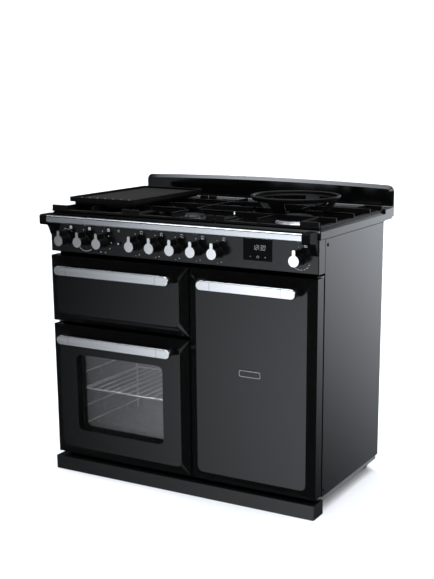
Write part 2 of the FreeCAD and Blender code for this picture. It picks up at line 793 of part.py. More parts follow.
def grill_pan():
    """Open pan that hangs by its rim on the runners, with a wire rack in it."""
    left = runner_sides()[0][1] + 2
    right = runner_sides()[1][0] - 2
    front, rear = RIM + S.pan_front, RIM + S.pan_rear
    rim = S.runner_level + S.runner_tall
    floor = rim - S.pan_deep
    pan = new_body("grill_pan_tray", node=False)
    tray = level(pan, floor)
    rounded(tray, left, right, front, rear, 18)
    pad(pan, tray, S.pan_deep)
    lip = level(pan, rim)
    rounded(lip, left - 8, right + 8, front - 6, rear + 6, 20)
    pad(pan, lip, 2)
    inside = level(pan, rim + 2)
    rounded(inside, left + 2, right - 2, front + 2, rear - 2, 16)
    pocket(pan, inside, S.pan_deep)
    rack = new_body("grill_rack", node=False)
    wire = S.shelf_wire
    for y in (front + 40, rear - 40):
        bar = section(rack, left + 14, y=y, z=floor + 2 + wire)
        circle(bar, wire)
        pad(rack, bar, right - left - 28)
    rod = upright(rack, rear - 16, x=left + 20, z=floor + 2 + 2.6 * wire)
    circle(rod, wire)
    rods = pad(rack, rod, rear - front - 32)
    in_a_row(rack, [rods], "X_Axis", right - left - 40, 13)
    group("grill_pan", [pan, rack])


# ---------------------------------------------------------------- ovens

def cavity(name, left, right, bottom, top, stand):
    """Enamelled box with a front flange and two legs that stand on what is below."""
    body = new_body(name)
    wall = S.skin
    outer = upright(body, FRAME_BACK)
    rounded(outer, left - wall, right + wall, bottom - wall, top + wall, S.cavity_corner + wall)
    pad(body, outer, S.cavity_deep, flip=True)
    flange = upright(body, FRAME_BACK)
    reach = S.cavity_flange
    rounded(flange, left - reach, right + reach, bottom - reach, top + reach, S.cavity_corner + reach)
    pad(body, flange, wall, flip=True)
    legs = level(body, stand)
    rear = CAVITY_BACK - S.leg
    rectangle(legs, left + 40, left + 40 + S.leg, rear - 6, rear)
    rectangle(legs, right - 40 - S.leg, right - 40, rear - 6, rear)
    pad(body, legs, bottom - wall / 2 - stand)
    inside = upright(body, FRAME_BACK)
    rounded(inside, left, right, bottom, top, S.cavity_corner)
    pocket(body, inside, S.cavity_deep - wall)
    return body


def shaft_hole(body, x, z):
    hole = upright(body, CAVITY_BACK - 4 * S.skin, x=x, z=z)
    circle(hole, S.shaft * 2)
    pocket(body, hole)


OVEN_CENTRES = [
    ((S.left_cavity_left + S.left_cavity_right) / 2, (S.oven_floor + S.left_oven_top) / 2 + 6),
    ((S.right_cavity_left + S.right_cavity_right) / 2, (S.oven_floor + S.right_oven_top) / 2),
]


def left_oven_cavity():
    body = cavity("left_oven_cavity", S.left_cavity_left, S.left_cavity_right, S.oven_floor,
                  S.left_oven_top, S.base_top)
    shaft_hole(body, *OVEN_CENTRES[0])


def right_oven_cavity():
    body = cavity("right_oven_cavity", S.right_cavity_left, S.right_cavity_right, S.oven_floor,
                  S.right_oven_top, S.base_top)
    shaft_hole(body, *OVEN_CENTRES[1])


def grill_chamber():
    """Grill box with a guide ledge under and over each runner."""
    body = cavity("grill_chamber", S.left_cavity_left, S.left_cavity_right, S.grill_floor,
                  S.grill_ceiling, S.left_oven_top + S.skin)
    low = S.runner_level - S.slide_gap
    high = S.runner_level + S.runner_tall + S.slide_gap
    ledges = (
        (S.left_cavity_left - S.skin / 2, S.left_cavity_left + S.runner_inset + 4),
        (S.left_cavity_right - S.runner_inset - 4, S.left_cavity_right + S.skin / 2))
    for left, right in ledges:
        guide = upright(body, FRAME_BACK + 6)
        rectangle(guide, left, right, low - 4, low)
        pad(body, guide, 360, flip=True)
        middle = (left + right) / 2
        stop = upright(body, FRAME_BACK + 6)
        rectangle(stop, middle - 8 if left.value < -300 else middle, middle if left.value < -300
                  else middle + 8, high + 3, high + 6)
        pad(body, stop, 360, flip=True)


def ladder_set(left, right, top):
    """Side ladders of one oven: two posts a side joined by level rungs."""
    bodies = []
    low = S.oven_floor
    rungs = int((top.value - low.value - 60) // S.ladder_pitch.value)
    for wall, inward in ((left, 1), (right, -1)):
        body = new_body("shelf_ladder", node=False)
        for y in (RIM + S.ladder_front, RIM + S.ladder_rear):
            post = level(body, low + S.cavity_corner, x=wall + inward * S.wire, y=y)
            circle(post, S.wire)
            pad(body, post, (rungs + 0.4) * S.ladder_pitch - S.cavity_corner)
        rung = upright(body, RIM + S.ladder_rear + 8, x=wall + inward * (S.wire + 5),
                       z=low + S.ladder_pitch * 0.8)
        circle(rung, S.rung)
        first = pad(body, rung, S.ladder_rear - S.ladder_front + 16)
        in_a_row(body, [first], "Z_Axis", (rungs - 1) * S.ladder_pitch, rungs)
        bodies.append(body)
    return bodies


def shelf_ladders():
    left = ladder_set(S.left_cavity_left, S.left_cavity_right, S.left_oven_top)
    right = ladder_set(S.right_cavity_left, S.right_cavity_right, S.right_oven_top)
    group("shelf_ladders", left + right)


def wire_shelf(left, right, rung):
    """Bent-wire shelf that rests on the rungs at one height."""
    body = new_body("wire_shelf", node=False)
    height = S.oven_floor + (rung + 0.8) * S.ladder_pitch + S.shelf_rest
    west, east = left + S.shelf_inset, right - S.shelf_inset
    front, rear = RIM + S.ladder_front - 12, RIM + S.ladder_rear - 4
    for x in (west, east):
        side = upright(body, rear, x=x, z=height)
        circle(side, S.wire)
        pad(body, side, rear - front)
    for y in (front, rear):
        cross = section(body, west, y=y, z=height)
        circle(cross, S.wire)
        pad(body, cross, east - west)
    rod = upright(body, rear, x=west + S.shelf_pitch / 2, z=height + 1)
    circle(rod, S.shelf_wire)
    rods = pad(body, rod, rear - front)
    count = int((east.value - west.value) // S.shelf_pitch.value)
    in_a_row(body, [rods], "X_Axis", (count - 1) * S.shelf_pitch, count)
    return body


def oven_shelves():
    left = wire_shelf(S.left_cavity_left, S.left_cavity_right, 2)
    low = wire_shelf(S.right_cavity_left, S.right_cavity_right, 2)
    high = wire_shelf(S.right_cavity_left, S.right_cavity_right, 6)
    group("oven_shelves", [left, low, high])


def fan_covers():
    """Shallow pressed baffles over the fans, with a ring of air slots."""
    covers = []
    inner_back = CAVITY_BACK - S.skin
    for x, z in OVEN_CENTRES:
        body = new_body("fan_cover", node=False)
        half = S.baffle_half
        outline = upright(body, inner_back)
        rounded(outline, x - half, x + half, z - half, z + half, 18)
        pad(body, outline, S.baffle_deep)
        inside = upright(body, inner_back)
        rounded(inside, x - half + 1.5, x + half - 1.5, z - half + 1.5, z + half - 1.5, 16)
        pocket(body, inside, S.baffle_deep - 1.5, flip=True)
        slot = upright(body, inner_back - S.baffle_deep, x=x, z=z)
        rounded(slot, -4, 4, 22, 56, 3)
        cut = pocket(body, slot, 3)
        in_a_ring(body, [cut], slot, 12)
        covers.append(body)
    group("fan_covers", covers)


def oven_fan(name, centre):
    """Radial fan wheel and its shaft through the oven's back."""
    x, z = centre
    body = new_body(name)
    back = CAVITY_BACK - S.skin - 4
    disc = upright(body, back, x=x, z=z)
    circle(disc, S.fan_radius)
    pad(body, disc, 1.5)
    blade = upright(body, back - 1, x=x, z=z)
    rectangle(blade, -1, 1, S.fan_hub - 2, S.fan_radius)
    vane = pad(body, blade, S.blade_tall)
    in_a_ring(body, [vane], blade, 8)
    hub = upright(body, back, x=x, z=z)
    circle(hub, S.fan_hub)
    pad(body, hub, S.blade_tall)
    shaft = upright(body, back, x=x, z=z)
    circle(shaft, S.shaft)
    pad(body, shaft, 4 + S.skin + 22, flip=True)


def fan_motors():
    """Motors on the outside of the oven backs, bored for the fan shafts."""
    motors = []
    for x, z in OVEN_CENTRES:
        body = new_body("fan_motor", node=False)
        plate = upright(body, CAVITY_BACK, x=x, z=z)
        rounded(plate, -46, 46, -46, 46, 8)
        pad(body, plate, 2, flip=True)
        case = upright(body, CAVITY_BACK, x=x, z=z)
        circle(case, S.motor_radius)
        pad(body, case, S.motor_deep, flip=True)
        bore = upright(body, CAVITY_BACK, x=x, z=z)
        circle(bore, S.shaft + S.running_gap)
        pocket(body, bore, 24)
        motors.append(body)
    group("fan_motors", motors)


def ring_element(x, z):
    """Torus element held off the oven's back by three short legs."""
    ring = new_body("ring_element", node=False)
    y = CAVITY_BACK - S.skin - 12
    profile = section(ring, x, y=y, z=z)
    circle(profile, S.element, 0, S.ring_radius)
    revolve(ring, profile, axis="H_Axis")
    leg = upright(ring, CAVITY_BACK - S.skin, x=x, z=z)
    circle(leg, S.rung, 0, S.ring_radius)
    foot = pad(ring, leg, 12)
    in_a_ring(ring, [foot], leg, 3)
    return ring


def grill_element():
    """Three hairpin loops under the grill ceiling, with legs that hang it."""
    loop = new_body("grill_element_loops", node=False)
    left = S.left_cavity_left + 75
    front, rear = RIM + 110, RIM + 400
    height = S.element_level
    pitch = S.element_pitch
    for index in range(6):
        run = upright(loop, rear, x=left + index * pitch, z=height)
        circle(run, S.element)
        pad(loop, run, rear - front)
    for index in range(5):
        at_front = index % 2 == 0
        y = front if at_front else rear
        bend = upright(loop, y, x=left + (index + 0.5) * pitch, z=height)
        circle(bend, S.element, pitch / 2, 0)
        turned = revolve(loop, bend)
        turned.Angle = 180
        turned.Reversed = at_front
    for index in (0, 5):
        for y in (front + 20, rear - 20):
            hanger = level(loop, height, x=left + index * pitch, y=y)
            circle(hanger, S.rung)
            pad(loop, hanger, S.grill_ceiling - height)
    return loop


def all_elements():
    rings = [ring_element(x, z) for x, z in OVEN_CENTRES]
    group("heating_elements", rings + [grill_element()])


# ---------------------------------------------------------------- control panel

def control_panel():
    """Folded fascia with a hole for every spindle, the button and the clock."""
    body = new_body("control_panel")
    half = S.side_half
    front = upright(body, FRAME)
    rectangle(front, -half, half, S.panel_bottom, S.cabinet_top)
    pad(body, front, FRAME - PANEL)
    round_edges(body, S.panel_edge, lambda edge: on_plane(edge, "y", PANEL))
    inside = upright(body, FRAME)
    rectangle(inside, skin_in(-half), skin_in(half), S.panel_bottom + S.skin, S.cabinet_top - S.skin)
    pocket(body, inside, FRAME - PANEL - S.skin, flip=True)
    ring = upright(body, PANEL + S.skin / 2, x=S.button_x, z=S.knob_level)
    circle(ring, S.button_ring)
    pad(body, ring, 2.5)
    holes = upright(body, PANEL - 4)
    for x in KNOBS.values():
        circle(holes, S.spindle_radius + 1, x, S.knob_level)
    circle(holes, S.button_radius + 0.3, S.button_x, S.knob_level)
    rounded(holes, S.clock_left, S.clock_right, S.clock_bottom, S.clock_top, 2)
    pocket(body, holes, 4 + 2 * S.skin)


def skin_in(edge):
    """An edge position moved inwards by one sheet thickness."""
    return edge + S.skin if edge.value < 0 else edge - S.skin


def clock_glass():
    """Dark glass of the clock, just proud of the fascia."""
    body = new_body("clock_glass")
    pane = upright(body, PANEL + S.skin)
    rounded(pane, S.clock_left, S.clock_right, S.clock_bottom, S.clock_top, 2)
    pad(body, pane, S.skin + 0.6)


def knob(name, x):
    """Keyhole-shaped knob: bright face, slimmer body, round skirt and spindle."""
    body = new_body(name)
    front = RIM - S.knob_front
    back_of_face = front + S.knob_face
    skirt_front = PANEL - S.knob_gap - S.knob_skirt_deep
    layers = (
        (back_of_face, S.knob_face, 0),
        (skirt_front, skirt_front - back_of_face, S.knob_waist))
    for plane, length, waist in layers:
        disc = upright(body, plane, x=x, z=S.knob_level)
        circle(disc, S.knob_radius - waist)
        pad(body, disc, length)
        pointer = upright(body, plane, x=x, z=S.knob_level)
        half = S.pointer_width / 2 - waist / 2
        rounded(pointer, -half, half, 0, S.pointer_reach - waist, half - 0.3)
        pad(body, pointer, length)
    skirt = upright(body, PANEL - S.knob_gap, x=x, z=S.knob_level)
    circle(skirt, S.knob_skirt)
    pad(body, skirt, S.knob_skirt_deep, taper=-12)
    spindle = upright(body, RIM + S.spindle_end, x=x, z=S.knob_level)
    circle(spindle, S.spindle_radius)
    pad(body, spindle, S.spindle_end - S.panel_setback + S.knob_gap)


def light_button():
    """Sprung oven-light button."""
    body = new_body("light_button")
    stem = upright(body, RIM + 22, x=S.button_x, z=S.knob_level)
    circle(stem, S.button_radius)
    pad(body, stem, 22 + S.button_proud)
    round_edges(body, 1, lambda edge: on_plane(edge, "y", RIM - S.button_proud))


def spindle_block(name, x, rear, bore, depth):
    """Round boss through the front frame with a block behind it, bored for a spindle."""
    body = new_body(name, node=False)
    front = FRAME - 20
    boss = upright(body, FRAME_BACK, x=x, z=S.knob_level)
    circle(boss, S.tap_boss)
    pad(body, boss, FRAME_BACK - front)
    block = upright(body, FRAME_BACK, x=x, z=S.knob_level)
    rounded(block, -S.tap_width / 2, S.tap_width / 2, -S.tap_tall / 2, S.tap_tall / 2, 4)
    pad(body, block, rear - FRAME_BACK, flip=True)
    hole = upright(body, front, x=x, z=S.knob_level)
    circle(hole, bore)
    pocket(body, hole, depth)
    return body


def control_units():
    """Switches behind the electric knobs and the button, and the clock's case."""
    bore = S.spindle_radius + S.running_gap
    units = []
    for name, x in KNOBS.items():
        if name not in GAS_KNOBS:
            units.append(spindle_block("oven_switch", x, RIM + 78, bore, 22))
    units.append(spindle_block("button_switch", S.button_x, RIM + 66, 1, 2))
    case = new_body("clock_case", node=False)
    rear = RIM + S.tap_rear - 2
    shell = upright(case, rear)
    rounded(shell, S.clock_left + 6, S.clock_right - 6, S.clock_bottom + 6, S.clock_top - 6, 2)
    pad(case, shell, rear - PANEL - S.skin)
    units.append(case)
    group("control_units", units)


# ---------------------------------------------------------------- gas

def gas_taps():
    """One tap behind each burner knob, with a jet pipe stub on top."""
    taps = []
    for name in GAS_KNOBS:
        tap = spindle_block("gas_tap", KNOBS[name], RIM + S.tap_rear, S.spindle_radius + S.running_gap, 22)
        outlet = level(tap, S.knob_level + S.tap_tall / 2 - 1, x=KNOBS[name], y=FRAME_BACK + 9)
        circle(outlet, 5)
        pad(tap, outlet, 14)
        taps.append(tap)
    group("gas_taps", taps)


def gas_manifold():
    """Square feed bar behind the taps, swept round a bend to the rear inlet."""
    body = new_body("gas_manifold")
    half = S.manifold / 2
    start = S.hob_knobs_x - 20
    y = RIM + S.tap_rear + half
    bend = 40
    turn_x = S.manifold_right - half
    spine = level(body, MANIFOLD_LEVEL)
    arc = Part.ArcOfCircle(
        Part.Circle(spot(turn_x - bend, y + bend), FreeCAD.Vector(0, 0, 1), bend), -1.5707963267948966, 0)
    spine.addGeometry(Part.LineSegment(spot(start, y), spot(turn_x - bend, y)))
    spine.addGeometry(arc)
    end = RIM + S.inlet_rear - S.inlet_length
    spine.addGeometry(Part.LineSegment(spot(turn_x, y + bend), spot(turn_x, end)))
    spine.addConstraint(Sketcher.Constraint("Tangent", 0, 2, 1, 1))
    spine.addConstraint(Sketcher.Constraint("Tangent", 1, 2, 2, 1))
    spine.addConstraint(Sketcher.Constraint("Horizontal", 0))
    dimension(spine, "Radius", 1, bend)
    locate(spine, 0, 1, start, y)
    locate(spine, 2, 2, turn_x, end)
    profile = section(body, start)
    rectangle(profile, y - half, y + half, MANIFOLD_LEVEL - half, MANIFOLD_LEVEL + half)
    pipe(body, profile, spine)
    fitting = upright(body, end, x=turn_x, z=MANIFOLD_LEVEL)
    circle(fitting, S.inlet_radius)
    pad(body, fitting, S.inlet_length, flip=True)
    thread = upright(body, RIM + S.inlet_rear, x=turn_x, z=MANIFOLD_LEVEL)
    circle(thread, S.inlet_bore)
    pocket(body, thread, S.inlet_length, flip=True)


# ---------------------------------------------------------------- hand rail

def handrail():
    """Hollow rail with a fine groove along its front."""
    body = new_body("handrail")
    front = RIM - S.rail_front
    wall = S.rail_wall
    outer = section(body, -S.rail_half)
    rounded(outer, front, front + S.rail_deep, S.rail_bottom, S.rail_top, S.rail_round)
    pad(body, outer, 2 * S.rail_half)
    inner = section(body, S.rail_half)
    rounded(inner, front + wall, front + S.rail_deep - wall, S.rail_bottom + wall,
            S.rail_top - wall, S.rail_round - wall)
    pocket(body, inner)
    groove = section(body, S.rail_half)
    rectangle(groove, front - 1, front + 0.7, S.rail_top - 8.4, S.rail_top - 7.4)
    pocket(body, groove)


def rail_brackets():
    """Cast ends of the rail, sloping back to the fascia."""
    pieces = []
    for side in (-1, 1):
        body = new_body("rail_bracket", node=False)
        inner = side * S.rail_half
        profile = section(body, inner)
        cap = RIM - S.rail_reach
        polygon(profile, [
            (cap, S.end_bottom + 4), (cap + 4, S.end_bottom), (RIM - 22, S.end_bottom - 5),
            (RIM - 8, S.knob_level + 30), (PANEL - 4, S.knob_level + 14), (PANEL, S.knob_level + 12),
            (PANEL, S.cabinet_top + 1), (RIM - 4, S.cabinet_top + 1), (RIM - 4, S.end_top - 2),
            (RIM - 6, S.end_top), (cap + 5, S.end_top), (cap, S.end_top - 5)])
        pad(body, profile, S.end_width, flip=side < 0)
        outer = inner + side * S.end_width
        round_edges(body, 5, lambda edge: on_plane(edge, "x", outer) and edge.BoundBox.YMax < RIM.value - 5)
        pieces.append(body)
    group("rail_brackets", pieces)


# ---------------------------------------------------------------- hotplate

def hotplate():
    """Pressed hob tray: upright strip, sloped shoulder and a sunken dish."""
    body = new_body("hotplate")
    front, rear = RIM + S.hob_setback, RIM + S.hob_rear
    corner = S.hob_corner
    strip = level(body, S.hob_bottom)
    rounded(strip, -HALF, HALF, front, rear, corner)
    pad(body, strip, S.hob_strip_top - S.hob_bottom)

    def outline(height, inset, radius):
        drawing = level(body, height)
        rounded(drawing, inset - HALF, HALF - inset, front + inset, rear - inset / 2, radius)
        return drawing

    shoulder = S.hob_slope
    rim = shoulder + S.hob_rim
    loft(body, outline(S.hob_strip_top, as_size(0.5), corner), outline(S.hob_rim_top, shoulder, corner + 4))
    loft(body, outline(S.hob_rim_top, rim, 24), outline(S.hob_floor, rim + S.hob_dish_slope, 20),
         kind="SubtractiveLoft")
    below = level(body, S.hob_bottom)
    rounded(below, 2 - HALF, HALF - 2, front + 2, rear - 2, corner - 2)
    pocket(body, below, S.hob_floor - S.hob_bottom - S.hob_sheet, flip=True)
    seat = level(body, S.cabinet_top)
    rectangle(seat, -S.side_half, S.side_half, RIM + S.side_front, rear - 2)
    rectangle(seat, S.flange - S.side_half, S.side_half - S.flange, RIM + S.side_front + 12, rear - 12)
    pad(body, seat, S.hob_floor - S.hob_sheet - S.cabinet_top)
    holes = level(body, S.hob_rim_top)
    for x, y, radius in BURNERS:
        circle(holes, radius - 6, x, y)
    pocket(body, holes)


def upstand():
    """Rear guard: low ledge, sloping cove and an upright wall with an arched, rounded top."""
    body = new_body("upstand")
    wall_front = RIM + S.wall_front
    ledge_front = RIM + S.hob_rear
    wall = upright(body, REAR)
    left, right = -HALF, HALF
    low, top = S.ledge_top + S.cove / 2, S.upstand_top
    corner = S.upstand_corner
    arch(wall, left, right, low, top, corner, S.arch_rise)
    pad(body, wall, REAR - wall_front)
    round_edges(body, S.upstand_round, lambda edge: on_plane(edge, "y", wall_front)
                and edge.BoundBox.ZMax > low.value + 1)
    side = section(body, -HALF)
    polygon(side, [
        (ledge_front, S.hob_bottom + 3), (REAR, S.hob_bottom + 3), (REAR, S.ledge_top + S.cove),
        (wall_front, S.ledge_top + S.cove), (wall_front - S.cove, S.ledge_top), (ledge_front, S.ledge_top)])
    pad(body, side, S.width)
    hollow = upright(body, REAR)
    inset = S.upstand_wall
    arch(hollow, left + inset, right - inset, S.hob_bottom + 3 + inset, top - inset, corner - inset,
         S.arch_rise)
    pocket(body, hollow, REAR - wall_front - inset, flip=True)


def arch(drawing, left, right, bottom, top, corner, rise):
    """Wall outline with round upper corners that run on into one shallow arc."""
    west, east, north = left + corner, right - corner, top - corner
    half_span = (east - west) / 2
    radius = (half_span * half_span + rise * rise + 2 * corner * rise) / (2 * rise)
    reach = radius.value - corner.value
    lean = half_span.value / reach
    lift = (1 - lean ** 2) ** 0.5
    middle = (west.value + east.value) / 2
    right_joint = spot(east + corner * lean, north + corner * lift)
    left_joint = spot(west - corner * lean, north + corner * lift)
    first = drawing.GeometryCount
    drawing.addGeometry(Part.LineSegment(spot(left, bottom), spot(right, bottom)))
    drawing.addGeometry(Part.LineSegment(spot(right, bottom), spot(right, north)))
    quarter = corner * 0.7071
    drawing.addGeometry(Part.Arc(spot(right, north), spot(east + quarter, north + quarter), right_joint))
    drawing.addGeometry(Part.Arc(right_joint, spot(middle, top + rise), left_joint))
    drawing.addGeometry(Part.Arc(left_joint, spot(west - quarter, north + quarter), spot(left, north)))
    drawing.addGeometry(Part.LineSegment(spot(left, north), spot(left, bottom)))
    for side in (0, 5):
        following = first + (side + 1) % 6
        drawing.addConstraint(Sketcher.Constraint("Coincident", first + side, 2, following, 1))
    for here, here_end, following, start in ((1, 2, 2, 1), (2, 2, 3, 1), (3, 2, 4, 1), (4, 2, 5, 1)):
        drawing.addConstraint(Sketcher.Constraint("Tangent", first + here, here_end, first + following, start))
    drawing.addConstraint(Sketcher.Constraint("Vertical", first + 1))
    drawing.addConstraint(Sketcher.Constraint("Vertical", first + 5))
    locate(drawing, first, 1, left, bottom)
    locate(drawing, first, 2, right, bottom)
    locate(drawing, first + 2, 3, east, north)
    locate(drawing, first + 4, 3, west, north)
    dimension(drawing, "Radius", first + 3, radius)


def each_burner(name, make):
    """One separate solid per burner, all in one node."""
    pieces = []
    for x, y, radius in BURNERS:
        body = new_body(name[:-1], node=False)
        make(body, x, y, radius)
        pieces.append(body)
    group(name, pieces)


def burner_cup(body, x, y, radius):
    """Cup that hangs through the hob's hole by its flange."""
    floor = S.hob_floor
    top = floor + S.cup_flange
    throat = radius - 6
    profile = upright(body, y, x=x)
    polygon(profile, [
        (0, floor - S.cup_deep), (throat, floor - S.cup_deep), (throat, floor),
        (radius + 6, floor), (radius + 3, top), (throat - 2, top),
        (throat - 2, floor - S.cup_deep + 3), (0, floor - S.cup_deep + 3)])
    revolve(body, profile)


def burner_head(body, x, y, radius):
    """Loose flame ring with a crown of gas ports."""
    low = S.hob_floor + S.cup_flange
    high = low + S.head_tall
    inner = radius - 12
    profile = upright(body, y, x=x)
    polygon(profile, [
        (inner, low), (radius + 1, low), (radius + 1, low + 2), (radius - 2, low + 4),
        (radius - 2, high - 2), (radius - 5, high), (inner, high)])
    revolve(body, profile)
    port = level(body, high, x=x, y=y)
    rectangle(port, -S.port_width / 2, S.port_width / 2, radius - 8, radius + 2)
    cut = pocket(body, port, S.port_deep)
    in_a_ring(body, [cut], port, 20 if radius.value > 40 else 16)


def burner_cap(body, x, y, radius):
    """Enamelled cap with a domed edge."""
    low = S.hob_floor + S.cup_flange + S.head_tall
    high = low + S.cap_tall
    profile = upright(body, y, x=x)
    polygon(profile, [
        (0, low), (radius - 4, low), (radius - 2, low + 2), (radius - 3, high - 3),
        (radius - 9, high), (radius - 16, high + 0.8), (0, high + 1.2)])
    revolve(body, profile)


def pan_support(name, left, right, burners):
    """Cast grid: outer rails, two cross bars and fingers that reach in over the burners."""
    body = new_body(name)
    bar = S.support_bar
    low = S.support_bottom
    front, rear = RIM + S.support_front, RIM + S.support_rear
    rails = level(body, low)
    rounded(rails, left, right, front, rear, 8)
    rounded(rails, left + bar, right - bar, front + bar, rear - bar, 3)
    pad(body, rails, S.support_rail_top - low)
    fingers = S.finger / 2
    tall = S.support_top - low - 4
    edges = (left + bar / 2, right - bar / 2)
    for y in (RIM + S.bar_two, RIM + S.bar_three):
        cross = level(body, low + 4)
        rectangle(cross, edges[0], edges[1], y - fingers, y + fingers)
        pad(body, cross, tall)
    for x, y, clear in burners:
        reach = (edges[0], x - clear, x + clear, edges[1])
        for west, east in (reach[:2], reach[2:]):
            arm = level(body, low + 4)
            rectangle(arm, west, east, y - fingers, y + fingers)
            pad(body, arm, tall)
        near, far = finger_ends(y)
        for south, north in ((near, y - clear), (y + clear, far)):
            arm = level(body, low + 4)
            rectangle(arm, x - fingers, x + fingers, south, north)
            pad(body, arm, tall)
    return body


def finger_ends(y):
    """The two bars that the fore-and-aft fingers over one burner grow from."""
    if y.value < (RIM + S.bar_two).value:
        return RIM + S.support_front + 4, RIM + S.bar_two
    if y.value > (RIM + S.bar_three).value:
        return RIM + S.bar_three, RIM + S.support_rear - 4
    return RIM + S.bar_two, RIM + S.bar_three


def long_bars(body, places, south, north):
    """Fore-and-aft bars between two cross bars."""
    for x in places:
        bar = level(body, S.support_bottom + 4)
        rectangle(bar, x - S.finger / 2, x + S.finger / 2, south, north)
        pad(body, bar, S.support_top - S.support_bottom - 4)


def support_feet(body, left, right):
    """Four short legs down to the hob's floor."""
    feet = level(body, S.hob_floor)
    inset = 22
    for x in (left + inset, right - inset):
        for y in (RIM + S.support_front + 4.5, RIM + S.support_rear - 4.5):
            circle(feet, S.support_foot / 1.4, x, y)
    pad(body, feet, S.support_bottom - S.hob_floor + 2)


def pan_supports():
    gap = S.support_gap / 2
    edges = (S.support_left, S.support_split_one, S.support_split_two, S.support_right)
    spans = [(edges[0], edges[1] - gap), (edges[1] + gap, edges[2] - gap), (edges[2] + gap, edges[3])]
    names = ("pan_support_left", "pan_support_centre", "pan_support_right")
    columns = (BURNERS[0:2], BURNERS[2:4], BURNERS[4:5])
    middle = (RIM + S.bar_two, RIM + S.bar_three)
    for name, (left, right), column in zip(names, spans, columns):
        clear = 26 if len(column) == 2 else 44
        body = pan_support(name, left, right, [(x, y, clear) for x, y, radius in column])
        centre = column[0][0]
        if len(column) == 2:
            long_bars(body, (centre - 50, centre + 50), *middle)
        else:
            outside = ((RIM + S.support_front + 4, middle[0]), (middle[1], RIM + S.support_rear - 4))
            for south, north in outside:
                long_bars(body, (centre - 80, centre, centre + 90), south, north)
        support_feet(body, left, right)


def griddle():
    """Flat cast plate on a low skirt, with a rim and two rows of studs at the front."""
    body = new_body("griddle")
    left, right = S.griddle_left, S.griddle_right
    front, rear = RIM + S.griddle_front, RIM + S.griddle_rear
    seat = S.support_top
    under = seat + S.griddle_seat
    top = under + S.griddle_plate
    inset = S.griddle_skirt
    skirt = level(body, seat)
    rounded(skirt, left + inset, right - inset, front + inset, rear - inset, 10)
    pad(body, skirt, S.griddle_seat)
    plate = level(body, under)
    rounded(plate, left, right, front, rear, S.griddle_corner)
    pad(body, plate, S.griddle_plate)
    rim = S.griddle_rim
    dish = level(body, top)
    rounded(dish, left + rim, right - rim, front + rim, rear - rim, S.griddle_corner - 4)
    pocket(body, dish, S.griddle_dish)
    hollow = level(body, seat)
    rounded(hollow, left + inset + 6, right - inset - 6, front + inset + 6, rear - inset - 6, 8)
    pocket(body, hollow, S.griddle_seat + 2, flip=True)
    floor = top - S.griddle_dish
    for row, count in ((0, 7), (1, 6)):
        stud = level(body, floor, x=left + 31 + row * S.dimple_pitch / 2, y=front + 34 - row * 12)
        circle(stud, S.dimple)
        studs = pad(body, stud, 5, taper=-25)
        in_a_row(body, [studs], "X_Axis", (count - 1) * S.dimple_pitch, count)


def wok_ring():
    """Conical ring with four arched windows between its feet."""
    body = new_body("wok_ring")
    low, high = S.support_top, S.wok_ring_top
    outer, foot, wall = S.wok_ring_outer, S.wok_ring_foot, S.wok_ring_wall
    x, y = S.wok_x, RIM + S.wok_y
    profile = upright(body, y, x=x)
    polygon(profile, [
        (foot, low), (foot + wall, low), (foot + wall + 2, low + 8), (outer - 2, high - 8),
        (outer, high - 2), (outer - 3, high), (outer - 12, high - 1), (outer - 14, high - 7),
        (foot + 2, low + 10)])
    revolve(body, profile)
    half = S.wok_window / 2
    window = upright(body, y, x=x)
    polygon(window, [
        (-half, low - 1), (half, low - 1), (half, low + 8), (half - 14, low + 17),
        (14 - half, low + 17), (-half, low + 8)])
    cut = pocket(body, window, outer + 2)
    turned = in_a_ring(body, [cut], window, 4, axis="V_Axis")
    return turned


# ---------------------------------------------------------------- build, check and export

def build():
    plinth()
    base_frame()
    levelling_feet()
    roller_brackets()
    roller("roller_left", -1)
    roller("roller_right", 1)
    side_panels()
    back_cover()
    terminal_cover()
    front_frame()
    hinge_brackets()
    door_seals()
    grill_front()
    bar_handle("grill_handle", LEFT_BAR, S.fronts_top)
    grill_carriage()
    grill_pan()
    left_door()
    left_door_glass()
    left_door_liner()
    bar_handle("left_door_handle", LEFT_BAR, S.left_door_top)
    right_door()
    door_liner("right_door_liner", S.right_door_start, S.fronts_half, S.fronts_top)
    bar_handle("right_door_handle", RIGHT_BAR, S.fronts_top)
    left_oven_cavity()
    right_oven_cavity()
    grill_chamber()
    shelf_ladders()
    oven_shelves()
    fan_covers()
    oven_fan("fan_left", OVEN_CENTRES[0])
    oven_fan("fan_right", OVEN_CENTRES[1])
    fan_motors()
    all_elements()
    control_panel()
    clock_glass()
    for name, x in KNOBS.items():
        knob(name, x)
    light_button()
    control_units()
    gas_taps()
    gas_manifold()
    handrail()
    rail_brackets()
    hotplate()
    upstand()
    each_burner("burner_cups", burner_cup)
    each_burner("burner_heads", burner_head)
    each_burner("burner_caps", burner_cap)
    pan_supports()
    griddle()
    wok_ring()


def check():
    """Stop if a feature failed, a cut removed nothing or a node has no sound solid."""
    faults = []
    for item in doc.Objects:
        if "Invalid" in item.State or "Error" in item.State:
            faults.append("%s: %s" % (item.Name, item.State))
    for cut in CUTS:
        shapes = (cut.BaseFeature.Shape if cut.BaseFeature else None, cut.Shape)
        if None in shapes or shapes[0].isNull() or shapes[1].isNull():
            faults.append("%s has no shape" % cut.Name)
        elif shapes[1].Volume > shapes[0].Volume - 0.01:
            faults.append("%s cuts nothing" % cut.Name)
    for name, item in NODES.items():
        if item.Shape.isNull() or not item.Shape.isValid() or not item.Shape.Solids:
            faults.append("%s has no valid solid" % name)
    if faults:
        raise RuntimeError("\n".join(faults))


def export():
    os.makedirs("parts", exist_ok=True)
    for name, item in NODES.items():
        item.Shape.exportStep("parts/%s.step" % name)


build()
doc.recompute()
check()
export()
print("%d nodes, %d solids" % (len(NODES), sum(len(item.Shape.Solids) for item in NODES.values())))
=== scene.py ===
import math

import bmesh
import bpy
from mathutils import Matrix, Vector


